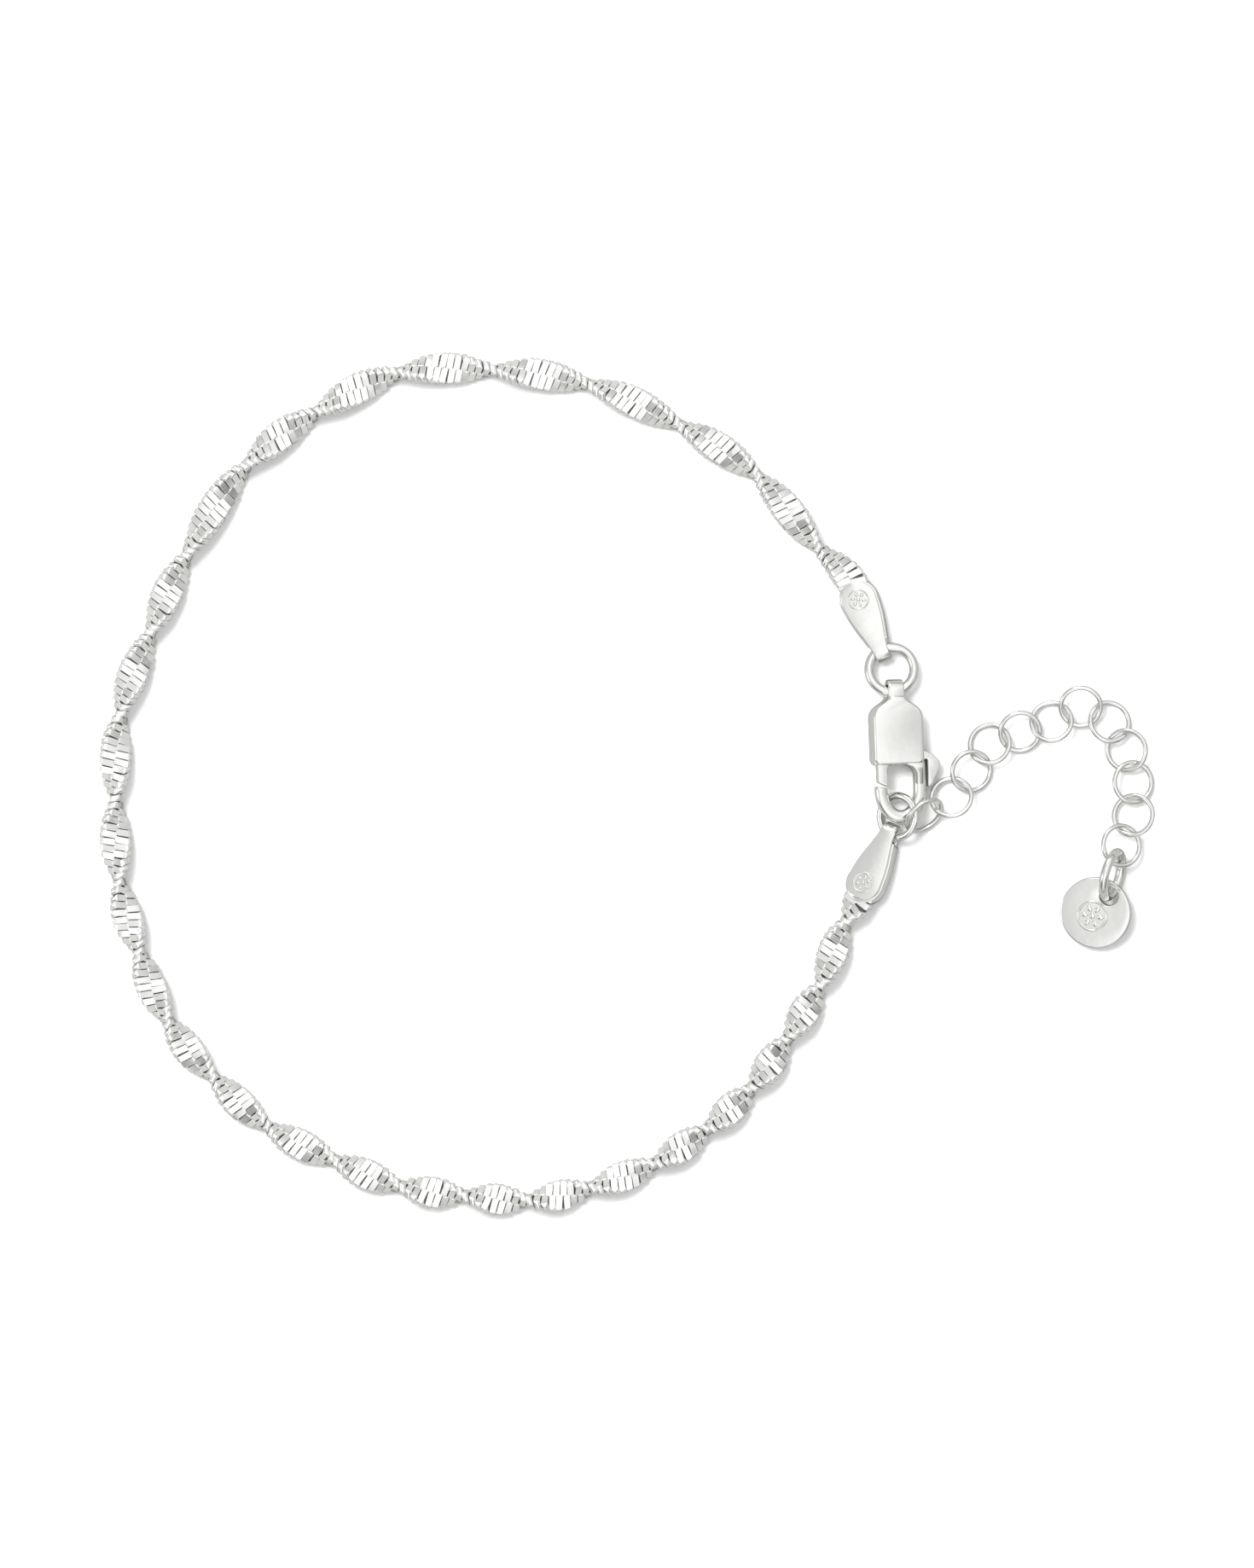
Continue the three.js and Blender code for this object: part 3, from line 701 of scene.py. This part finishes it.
def rosette(diameter, place):
    size = MIDDLE_SIZE * diameter
    parts = [add_mesh("middle", *dome((0, 0), size, size, MIDDLE_HIGH, 0), place)]
    for k in range(PETALS):
        angle = tau * k / PETALS
        middle = (PETAL_AT * diameter * cos(angle), PETAL_AT * diameter * sin(angle))
        petal = dome(middle, PETAL_LONG * diameter, PETAL_BROAD * diameter, PETAL_HIGH, angle)
        parts.append(add_mesh("petal", *petal, place))
    parts.append(rosette_rim(diameter, place))
    return join("rosette", parts)


print("faces in one petal", len(dome((0, 0), 1, 1, 1, 0)[1]))

# %% [markdown]
# Both caps are the same pressed part, so one function makes leaf, cup and rosette for both.

# %% End caps
CAP_ROSETTE = 1.5


def end_cap(name, solid, place):
    flower_place = place @ Matrix.Translation((CAP_LENGTH, 0, CAP_THICKNESS / 2))
    cap = join(name, [folded_leaf(place), cap_cup(place), rosette(CAP_ROSETTE, flower_place)])
    cap.data.materials.append(polished_silver)
    part_of("bracelet", "silver", cap, solid)


end_cap("end_cap_upper_folded", "end_cap_upper", upper_cap_place)
end_cap("end_cap_lower_folded", "end_cap_lower", lower_cap_place)

# %% [markdown]
# Jump rings and extender links are drawn wire, bent round and soldered. They repeat, so one
# tree of Geometry Nodes makes them all: a circle swept round a circle, set on each point. A
# torus would need a new mesh for each size.

# %% Tree for the rings
WIRE_STEPS, WIRE_SIDES = 72, 18


def ring_tree():
    tree, given, keys = new_tree("wire_rings", [
        ("Diameter", "Float"), ("Wire", "Float"), ("Material", "Material")])
    apart = node(tree, "ShaderNodeMath", {"operation": "SUBTRACT"}, {0: given["Diameter"], 1: given["Wire"]})
    radius = node(tree, "ShaderNodeMath", {"operation": "MULTIPLY"}, {0: apart.outputs[0], 1: 0.5})
    wire = node(tree, "ShaderNodeMath", {"operation": "MULTIPLY"}, {0: given["Wire"], 1: 0.5})
    round_path = node(tree, "GeometryNodeCurvePrimitiveCircle", None, {
        "Resolution": WIRE_STEPS, "Radius": radius.outputs[0]})
    section = node(tree, "GeometryNodeCurvePrimitiveCircle", None, {
        "Resolution": WIRE_SIDES, "Radius": wire.outputs[0]})
    swept = node(tree, "GeometryNodeCurveToMesh", None, {
        "Curve": round_path.outputs[0], "Profile Curve": section.outputs[0]})
    on_points = node(tree, "GeometryNodeInstanceOnPoints", None, {
        "Points": given["Geometry"], "Instance": swept.outputs[0],
        "Rotation": turned_to(tree, "front", "left")})
    finish_tree(tree, on_points.outputs[0], given["Material"])
    return tree, keys


wire_tree, wire_keys = ring_tree()
print("faces in one ring", WIRE_STEPS * WIRE_SIDES)

# %% [markdown]
# The extender's links follow one another. Each is headed halfway between the step before it
# and the step after it, and rolls to one side, because linked rings can't all lie flat.

# %% Rings
EXTENDER_RING = (3.15, 0.34)
# For each link: the way on to the next link, then its roll and pitch, in degrees
EXTENDER = [
    (34, 54, 0), (52.5, -20, -9), (55.9, 20, 0), (21.9, -20, 0), (17.8, 20, 0), (27.3, -20, 0),
    (-27.6, 20, 0), (-59.4, -20, 0), (-78.2, 20, 0), (-90, -20, 0), (-111.7, 20, 6), (-108, -20, 12),
]
FIRST_LINK_HEADING = 38.0


def rings(name, solids, places, ring):
    points = [place.translation * MM for place in places]
    fronts = [place.to_3x3() @ Vector((1, 0, 0)) for place in places]
    lefts = [place.to_3x3() @ Vector((0, 1, 0)) for place in places]
    piece = points_with_directions(name, points, front=fronts, left=lefts)
    grow(piece, wire_tree, wire_keys, Diameter=ring[0] * MM, Wire=ring[1] * MM, Material=wire_silver)
    piece.data.shade_smooth()
    part_of("bracelet", "silver", piece, *solids)


def extender_places(solids):
    places = []
    before = 2 * FIRST_LINK_HEADING - EXTENDER[0][0]
    for solid, (onward, roll, pitch) in zip(solids, EXTENDER):
        places.append(pose(node_middle(solid), (before + onward) / 2, roll, pitch))
        before = onward
    return places


for solid, place, ring in [
        ("jump_ring_upper", upper_ring_place, JUMP_RING), ("tag_ring", tag_ring_place, JUMP_RING),
        ("jump_ring_lower", hook_ring_place, HOOK_RING)]:
    rings(f"{solid}_wire", [solid], [place], ring)
extender_nodes = [f"extender_link_{i + 1:02d}" for i in range(len(EXTENDER))]
rings("extender_links", extender_nodes, extender_places(extender_nodes), EXTENDER_RING)

# %% [markdown]
# The clasp's body is cast in one piece: two covers with soft rims, and between them a core
# with a slot for the lever. Half an outline is drawn, from the bottom corner over the
# shoulder to the neck, and its mirror image makes the other half.

# %% Outlines of the clasp
NECK_WIDTH, NECK_LENGTH, SHOULDER_RISE, SHOULDER_FALL = 1.14, 0.3, 0.9, 0.52
BODY_TOP, BODY_BOTTOM, SLOT_TOP = -1.8, -5.16, -3.06
COVER_CORNER, CORE_BACK, CORE_BODY_CORNER = 0.45, 0.05, 0.14
WALL_INSIDE, SLOT_OUTSIDE = -1.56, 1.75


def bezier(p0, p1, p2, p3, steps=12):
    made = []
    for k in range(1, steps + 1):
        t = k / steps
        weights = ((1 - t) ** 3, 3 * t * (1 - t) ** 2, 3 * t * t * (1 - t), t**3)
        made.append(tuple(sum(w * p[i] for w, p in zip(weights, (p0, p1, p2, p3))) for i in (0, 1)))
    return made


def clasp_side(inward, bottom, corner):
    half, neck, top = CLASP_WIDTH / 2 - inward, NECK_WIDTH / 2 - inward, -NECK_LENGTH
    side = []
    for angle in reversed(quarter_turn(4)):
        side.append((half - corner * (1 - cos(angle)), bottom + corner * (1 - sin(angle))))
    start = (half, BODY_TOP)
    shoulder = bezier(start, (half, BODY_TOP + SHOULDER_RISE), (neck, top - SHOULDER_FALL), (neck, top))
    return side + [start] + shoulder


def mirrored(side):
    return [(-x, y) for x, y in reversed(side)]


def cover_outline():
    side = clasp_side(0.0, BODY_BOTTOM, COVER_CORNER)
    return side + mirrored(side)


def core_outline():
    bottom = BODY_BOTTOM + CORE_BACK
    side = clasp_side(CORE_BACK, bottom, CORE_BODY_CORNER)
    above_slot = [point for point in side if point[1] > SLOT_TOP]
    wall = [(WALL_INSIDE, bottom), (WALL_INSIDE, SLOT_TOP)]
    return [(SLOT_OUTSIDE, SLOT_TOP)] + above_slot + mirrored(side) + wall


print("points in the cover's outline", len(cover_outline()))

# %% [markdown]
# The neck is a strip bent over the ring. It starts on the front cover and ends on the back
# one, so the clasp hangs on it and can swing.

# %% Neck
STRIP_THICKNESS, STRIP_RADIUS, STRIP_EDGE, NECK_STEPS = 0.28, 0.61, 0.13, 14
NECK_RUN = (-1.4, -0.8, -0.3)


def clasp_neck(place):
    stations = [(y, STRIP_RADIUS, 0.0) for y in NECK_RUN]
    for k in range(NECK_STEPS + 1):
        angle = pi * k / NECK_STEPS
        stations.append((FOLD_REACH + STRIP_RADIUS * sin(angle), STRIP_RADIUS * cos(angle), angle))
    stations += [(y, -STRIP_RADIUS, pi) for y in reversed(NECK_RUN)]
    section = rounded_section(NECK_WIDTH / 2, STRIP_THICKNESS / 2, STRIP_EDGE, 4)
    loops = []
    for y, z, angle in stations:
        out = Vector((0, sin(angle), cos(angle)))
        loops.append([Vector((a, y, z)) + out * b for a, b in section])
    return loft("neck", loops, place)


print("eye's clear width mm", round(2 * STRIP_RADIUS - STRIP_THICKNESS, 2))

# %% [markdown]
# The hook is as thick as a wire and flattened on all four sides. It comes straight down out
# of the body, turns through half an ellipse, and its end is cut on a slant and rounded, so
# that the lever's gate meets it flush.

# %% Hook
JAW_WIDTH, JAW_DEPTH, JAW_ROUND, JAW_OFFSET = 1.92, 3.18, 1.44, 0.18
HOOK_WIRE, HOOK_DEPTH, HOOK_CORNER, HOOK_STEPS = 0.9, 0.84, 0.36, 28
HOOK_MIDDLE = BODY_BOTTOM - JAW_DEPTH + JAW_ROUND
IN_THE_BODY, ARM_STEP, ARM_END = 0.3, 0.35, 0.1
TIP_RISE, TIP_SLANT = 0.09, 0.2
# How much of the rise, and of the full section, each last loop of the tip has
TIP_ROUNDING = ((0.55, 1.0), (0.85, 0.94), (1.0, 0.8))


def hook_stations():
    x, y = (JAW_WIDTH + HOOK_WIRE) / 2, JAW_ROUND + HOOK_WIRE / 2
    stations = []
    down = BODY_BOTTOM + IN_THE_BODY
    while down > HOOK_MIDDLE + ARM_END:
        stations.append((JAW_OFFSET + x, down, 0, -1))
        down -= ARM_STEP
    for k in range(HOOK_STEPS + 1):
        angle = -pi * k / HOOK_STEPS
        stations.append((JAW_OFFSET + x * cos(angle), HOOK_MIDDLE + y * sin(angle),
                         x * sin(angle), -y * cos(angle)))
    return stations


def clasp_hook(place):
    section = rounded_section(HOOK_WIRE / 2, HOOK_DEPTH / 2, HOOK_CORNER, 5)
    loops = []
    for x, y, dx, dy in hook_stations():
        along = Vector((dx, dy, 0)).normalized()
        side = Vector((-along.y, along.x, 0))
        loops.append([Vector((x, y, 0)) + side * a + Vector((0, 0, b)) for a, b in section])
    tip = loops[-1]
    middle = sum(tip, Vector()) / len(tip)
    for rise, size in TIP_ROUNDING:
        rounded = []
        for point in tip:
            up = TIP_RISE + TIP_SLANT * (JAW_OFFSET - JAW_WIDTH / 2 - point.x) / HOOK_WIRE
            rounded.append(middle + (point - middle) * size + Vector((0, rise * up, 0)))
        loops.append(rounded)
    return loft("hook", loops, place)


print("stations along the hook", len(hook_stations()))

# %% [markdown]
# Where the hook leaves the body, the casting flows: the front slopes down from the cover to
# the arm, and the jaw's inner corner is a fillet. One loft does both. Its section starts
# wide and high under the cover and shrinks down to the arm.

# %% Shoulder of the arm
ARM_FILLET, ARM_RUN, UNDER_COVER, ARM_SECTIONS, ARM_INNER_SHIFT = 0.75, 1.8, 0.1, 19, 0.05
# Right side, top, underside and corner radius, at the body and at the end of the run
AT_BODY, AT_ARM = (1.78, 0.96, -0.4, 0.2), (1.99, 0.34, -0.34, 0.345)


def arm_shoulder(place):
    inner = JAW_OFFSET + JAW_WIDTH / 2
    loops = []
    for step in range(ARM_SECTIONS):
        below = -UNDER_COVER + (ARM_RUN + UNDER_COVER) * step / (ARM_SECTIONS - 1)
        share = max(below, 0) / ARM_RUN
        ease = share * share * (3 - 2 * share)
        in_fillet = min(max(below, 0), ARM_FILLET)
        left = inner + ARM_INNER_SHIFT * share - ARM_FILLET
        left += sqrt(max(ARM_FILLET**2 - (ARM_FILLET - in_fillet) ** 2, 0))
        right, top, low, corner = (a + (b - a) * ease for a, b in zip(AT_BODY, AT_ARM))
        section = rounded_section((right - left) / 2, (top - low) / 2, corner, 4)
        middle = Vector(((left + right) / 2, BODY_BOTTOM - below, (top + low) / 2))
        loops.append([middle + Vector((a, 0, b)) for a, b in section])
    return loft("arm_shoulder", loops, place)


print("shoulder reaches down mm", ARM_RUN)

# %% [markdown]
# The pieces of the casting overlap a little inside and are joined as they are. A boolean
# would give one skin, but it would also break the even rims that catch the light.

# %% Clasp body
COVER_RIM, SMALL_RIM, COVER_LOW, COVER_HIGH, CORE_HALF = 0.22, 0.03, 0.5, 1.0, 0.6
FOOT_LEFT, FOOT_HEIGHT = 1.14, 0.24
PIN_RADIUS, PIN_HALF_LENGTH, PIN_RIM, ROUND_SIDES = 0.3, 0.98, 0.04, 24


def clasp_body(place):
    low, high = BODY_BOTTOM + CORE_BACK, BODY_BOTTOM + FOOT_HEIGHT
    foot = [(FOOT_LEFT, low), (SLOT_OUTSIDE, low), (SLOT_OUTSIDE, high), (FOOT_LEFT, high)]
    pin = circle(PIN, PIN_RADIUS, ROUND_SIDES)
    return join("clasp_body_polished", [
        arm_shoulder(place),
        plate("front", cover_outline(), COVER_LOW, COVER_HIGH, COVER_RIM, place),
        plate("back", cover_outline(), -COVER_HIGH, -COVER_LOW, COVER_RIM, place),
        plate("core", core_outline(), -CORE_HALF, CORE_HALF, SMALL_RIM, place),
        plate("right_foot", foot, -CORE_HALF, CORE_HALF, SMALL_RIM, place),
        clasp_neck(place),
        clasp_hook(place),
        plate("pin", pin, -PIN_HALF_LENGTH, PIN_HALF_LENGTH, PIN_RIM, place),
    ])


clasp = clasp_body(clasp_place)
clasp.data.materials.append(polished_silver)
part_of("bracelet", "silver", clasp, "clasp_body")

# %% [markdown]
# The lever closes the jaw on the left and is pressed by its tab on the right. It is one flat
# casting. Its outline is a list of corners, each with the radius that a file would leave
# there, and each corner becomes a short curve.

# %% Outline of the lever
GATE_LEFT, GATE_RIGHT, GATE_END, GATE_SLANT = -1.46, -0.78, -6.67, 0.31
ARM_UPPER, ARM_LOWER, TAB_LEFT, TAB_RIGHT, TAB_END = -4.22, -4.82, 2.14, 3.14, -6.82
BOSS = 0.7
# Each corner's place and radius, round the lever from the gate's outer end
LEVER_CORNERS = [
    (GATE_LEFT, GATE_END + GATE_SLANT, 0.14), (GATE_RIGHT, GATE_END, 0.14),
    (GATE_RIGHT, BODY_BOTTOM - 0.1, 0.2), (PIN.x, PIN.y - BOSS, 0.2), (1.04, ARM_LOWER, 0.1),
    (TAB_LEFT, ARM_LOWER, 0.1), (TAB_LEFT, TAB_END, 0.14), (TAB_LEFT + 0.3, TAB_END + 0.26, 0.3),
    (TAB_RIGHT, ARM_UPPER - 0.9, 0.55), (TAB_RIGHT - 0.6, ARM_UPPER - 0.26, 0.6),
    (1.9, ARM_UPPER, 0.3), (PIN.x + 0.68, ARM_UPPER, 0.2), (PIN.x, PIN.y + BOSS, 0.5),
    (PIN.x - 0.6, PIN.y + 0.36, 0.4), (PIN.x - 0.75, PIN.y, 0.3), (GATE_LEFT, PIN.y - BOSS, 0.3),
]
CORNER_STEPS, SIDE_SHARE = 5, 0.48


def lever_outline():
    outline = []
    count = len(LEVER_CORNERS)
    for i, (x, y, radius) in enumerate(LEVER_CORNERS):
        here = Vector((x, y))
        to_before = Vector(LEVER_CORNERS[i - 1][:2]) - here
        to_after = Vector(LEVER_CORNERS[(i + 1) % count][:2]) - here
        half = to_before.angle(to_after) / 2
        reach = min(radius / tan(half), to_before.length * SIDE_SHARE, to_after.length * SIDE_SHARE)
        start = here + to_before.normalized() * reach
        end = here + to_after.normalized() * reach
        for step in range(CORNER_STEPS + 1):
            share = step / CORNER_STEPS
            outline.append(tuple(start * (1 - share) ** 2 + here * 2 * share * (1 - share) + end * share**2))
    return outline


print("points in the lever's outline", len(lever_outline()))

# %% [markdown]
# The lever turns on the pin, so it has a bore there. The plate's two flat faces are taken
# away and filled again round the bore, because a boolean would leave slivers in them. The
# normals are then weighted by area, so the flat faces shade flat up to their rims.

# %% Lever
LEVER_HALF, LEVER_RIM, BORE_RADIUS, AREA_WEIGHT = 0.42, 0.08, 0.38, 80


def pierced_plate(name, outline, hole, half_depth, rim, place):
    solid = plate(name, outline, -half_depth, half_depth, rim)
    made = bmesh.new()
    made.from_mesh(solid.data)
    bpy.data.objects.remove(solid)
    covers = sorted(made.faces, key=lambda face: -len(face.verts))[:2]
    borders = {face.verts[0].co.z: list(face.edges) for face in covers}
    bmesh.ops.delete(made, geom=covers, context="FACES_ONLY")
    bore = {z: [made.verts.new((x * MM, y * MM, z)) for x, y in hole] for z in borders}
    for z, border in borders.items():
        ring = bore[z]
        border += [made.edges.new((ring[k - 1], ring[k])) for k in range(len(ring))]
        bmesh.ops.triangle_fill(made, use_beauty=True, edges=border)
    low, high = bore[min(bore)], bore[max(bore)]
    for k in range(len(hole)):
        made.faces.new((low[k - 1], low[k], high[k], high[k - 1]))
    bmesh.ops.recalc_face_normals(made, faces=made.faces)
    mesh = bpy.data.meshes.new(name)
    made.to_mesh(mesh)
    made.free()
    mesh.transform(Matrix.Scale(MM, 4) @ place @ Matrix.Scale(1 / MM, 4))
    mesh.shade_smooth()
    mesh.set_sharp_from_angle(angle=SHARP_ANGLE)
    return add_object(name, mesh)


def keep_faces_flat(piece):
    weighted = piece.modifiers.new("weighted_normals", "WEIGHTED_NORMAL")
    weighted.mode, weighted.weight, weighted.keep_sharp = "FACE_AREA", AREA_WEIGHT, True
    bake(piece, weighted)


lever_bore = circle(PIN, BORE_RADIUS, ROUND_SIDES)
lever = pierced_plate("clasp_lever_polished", lever_outline(), lever_bore, LEVER_HALF, LEVER_RIM, clasp_place)
keep_faces_flat(lever)
lever.data.materials.append(polished_silver)
part_of("lever", "silver", lever, "clasp_lever")

# %% [markdown]
# The tag is a flat round plate with a hole near its edge, and hangs by that hole on its ring.
# Rays from the hole's middle to the rim make one even grid for both faces, so both rims can
# be rounded with no boolean.

# %% Tag
TAG_DIAMETER, TAG_THICKNESS, TAG_HOLE, TAG_HOLE_MARGIN = 5.0, 0.6, 1.35, 0.26
TAG_RIM, HOLE_RIM, TAG_RAYS, TAG_ROSETTE = 0.12, 0.09, 96, 2.2
TAG_ROLL, TAG_PITCH = -7, 12
TAG_HOLE_X = (TAG_DIAMETER - TAG_HOLE) / 2 - TAG_HOLE_MARGIN
# Angles that round the two rims, in radians, and shares of the way at which the faces divide
HOLE_TURNS, RIM_TURNS, DIVIDED_AT = (1.57, 1.05, 0.52, 0), (0, 0.39, 0.79, 1.18, 1.57), (0.35, 0.65)


def tag_place():
    turn = pose(Vector(), heading=51, roll=TAG_ROLL, pitch=TAG_PITCH)
    hung = on_ring(tag_ring_place, JUMP_RING, angle=24)
    middle = hung - turn.to_3x3() @ Vector((TAG_HOLE_X, 0, 0))
    up = cos(radians(TAG_ROLL)) * cos(radians(TAG_PITCH))
    rest = TAG_DIAMETER / 2 * sqrt(1 - up * up) + TAG_THICKNESS / 2
    return Matrix.Translation((middle.x, middle.y, level + rest)) @ turn


def rounded_rim(edge, rim, turns):
    top = TAG_THICKNESS / 2
    return [(edge + rim * (1 - sin(a)), top - abs(rim) * (1 - cos(a))) for a in turns]


def tag_disc(place):
    hole, radius = TAG_HOLE / 2, TAG_DIAMETER / 2
    loops = []
    for x, y in circle(Vector(), 1, TAG_RAYS):
        reach = -TAG_HOLE_X * x + sqrt((TAG_HOLE_X * x) ** 2 + radius**2 - TAG_HOLE_X**2)
        flat = [(hole + (reach - hole) * share, TAG_THICKNESS / 2) for share in DIVIDED_AT]
        upper = rounded_rim(hole, HOLE_RIM, HOLE_TURNS) + flat + rounded_rim(reach, -TAG_RIM, RIM_TURNS)
        section = upper + [(r, -z) for r, z in reversed(upper)]
        loops.append([(TAG_HOLE_X + x * r, y * r, z) for r, z in section])
    return loft("disc", loops, place, closed=True)


place = tag_place()
flower_x = TAG_HOLE_X - TAG_HOLE / 2 - GAP - TAG_ROSETTE / 2
flower_place = place @ Matrix.Translation((flower_x, 0, TAG_THICKNESS / 2))
tag = join("tag_polished", [tag_disc(place), rosette(TAG_ROSETTE, flower_place)])
tag.data.materials.append(polished_silver)
part_of("bracelet", "silver", tag, "tag_disc")

# %% [markdown]
# The bracelet lies on white paper. Polished silver mirrors it, and white silver on white
# paper would have no edges. A photographer keeps grey cards just outside the picture for
# that. Here the paper is grey for reflected rays alone, which draws a line round every wire.

# %% Floor
PAPER_GRAIN_PER_MM, FLOOR_HALF = 0.9, 1500


def paper_white():
    material, tree = new_material("white_paper")
    where = node(tree, "ShaderNodeTexCoord").outputs["Object"]
    grain = node(tree, "ShaderNodeTexNoise", None, {
        "Vector": where, "Scale": PAPER_GRAIN_PER_MM / MM, "Detail": 2.0})
    tone = node(tree, "ShaderNodeMix", {"data_type": "RGBA"}, {
        0: grain.outputs["Fac"], 6: linear("#FBFBFB"), 7: linear("#F7F7F7")})
    in_mirror = node(tree, "ShaderNodeLightPath").outputs["Is Glossy Ray"]
    seen = node(tree, "ShaderNodeMix", {"data_type": "RGBA"}, {
        0: in_mirror, 6: tone.outputs[2], 7: linear("#A0A09E")})
    shader = node(tree, "ShaderNodeBsdfPrincipled", None, {"Base Color": seen.outputs[2], "Roughness": 0.9})
    node(tree, "ShaderNodeOutputMaterial", None, {"Surface": shader.outputs[0]})
    return material


corners = [(x * FLOOR_HALF, y * FLOOR_HALF, 0) for x, y in ((-1, -1), (1, -1), (1, 1), (-1, 1))]
floor = add_mesh("floor", corners, [(0, 1, 2, 3)])
# Uncoated paper: matt, with a grain that only breaks the flatness of the white
floor.data.materials.append(paper_white())
print("floor is wide mm", 2 * FLOOR_HALF)

# %% [markdown]
# One softbox stands at the upper left and throws the soft shadows to the lower right. It is
# hidden from reflections, because its square would burn out on the flat faces.

# %% Softbox
light = bpy.data.lights.new("softbox_upper_left", "AREA")
light.shape, light.size, light.energy = "SQUARE", 240 * MM, 4.4
softbox = add_object("softbox_upper_left", light)
softbox.location = Vector((-200, 200, 600)) * MM
softbox.rotation_mode = "QUATERNION"
softbox.rotation_quaternion = (-softbox.location).to_track_quat("-Z", "Y")
softbox.visible_glossy = False
print("softbox is away mm", round(softbox.location.length / MM))

# %% [markdown]
# Silver shows what is round it, so the sky does most of the work: bright above and darker
# near the horizon, which draws dark lines along every edge that turns away. Bright and dark
# cards stand in it as they would in a studio. They are part of the sky, so they stay in place
# when the camera moves.

# %% Sky
# Height of the direction, from the horizon to straight up, and the sky's brightness there
SKY = [(0.0, 0.36), (0.2, 0.5), (0.5, 0.66), (0.78, 0.72), (0.9, 0.82), (0.96, 0.93), (1.0, 1.0)]
# Direction of each card, where it starts and is full, and what it adds to the sky
CARDS = [
    ((0.166, 0.621, 0.766), 0.72, 0.95, 0.42),
    ((0.166, -0.621, 0.766), 0.72, 0.95, 0.42),
    ((-0.25, 0.84, 0.48), 0.955, 0.99, 3.0),
    ((-0.9, -0.1, 0.42), 0.955, 0.99, 2.0),
    ((0.62, -0.62, 0.48), 0.9, 0.97, -0.7),
    ((-0.62, -0.65, 0.45), 0.93, 0.98, -0.6),
]


def grey(level):
    return (level, level, level, 1)


def sky_colour(tree, direction):
    height = node(tree, "ShaderNodeSeparateXYZ", None, {0: direction})
    ramp = node(tree, "ShaderNodeValToRGB", None, {0: height.outputs["Z"]})
    elements = ramp.color_ramp.elements
    elements[0].color, elements[1].color = grey(SKY[0][1]), grey(SKY[-1][1])
    for position, level in SKY[1:-1]:
        elements.new(position).color = grey(level)
    return ramp.outputs[0]


def card_light(tree, direction):
    bright = 1.0
    for axis, begins, full, adds in CARDS:
        toward = node(tree, "ShaderNodeVectorMath", {"operation": "DOT_PRODUCT"}, {0: direction, 1: axis})
        card = node(tree, "ShaderNodeMapRange", {"interpolation_type": "SMOOTHSTEP"}, {
            "Value": toward.outputs["Value"], "From Min": begins, "From Max": full, "To Max": adds})
        bright = node(tree, "ShaderNodeMath", None, {0: bright, 1: card.outputs[0]}).outputs[0]
    return bright


world = bpy.data.worlds.new("studio")
world.use_nodes = True
tree = world.node_tree
tree.nodes.clear()
direction = node(tree, "ShaderNodeTexCoord").outputs["Generated"]
sky = node(tree, "ShaderNodeBackground", None, {
    "Color": sky_colour(tree, direction), "Strength": card_light(tree, direction)})
node(tree, "ShaderNodeOutputWorld", None, {"Surface": sky.outputs[0]})
bpy.context.scene.world = world
bpy.context.scene.view_settings.view_transform = "Standard"
print("cards in the sky", len(CARDS))

# %% [markdown]
# The camera looks straight down with a long lens, so that nothing leans. One pixel of the
# picture is 0.06 mm on the bracelet, and so its long side covers 110 mm. That is exact about
# halfway up the chain.

# %% Camera
PIXEL, TALL, EXACT_AT = 0.06, 1838, 1.1

camera_data = bpy.data.cameras.new("camera")
camera_data.lens, camera_data.sensor_width, camera_data.clip_end = 200, 36, 10
distance = TALL * PIXEL * camera_data.lens / camera_data.sensor_width
camera = add_object("camera", camera_data)
camera.location = (0, 0, (distance + EXACT_AT) * MM)
bpy.context.scene.camera = camera
print("camera is up mm", round(camera.location.z / MM, 1))
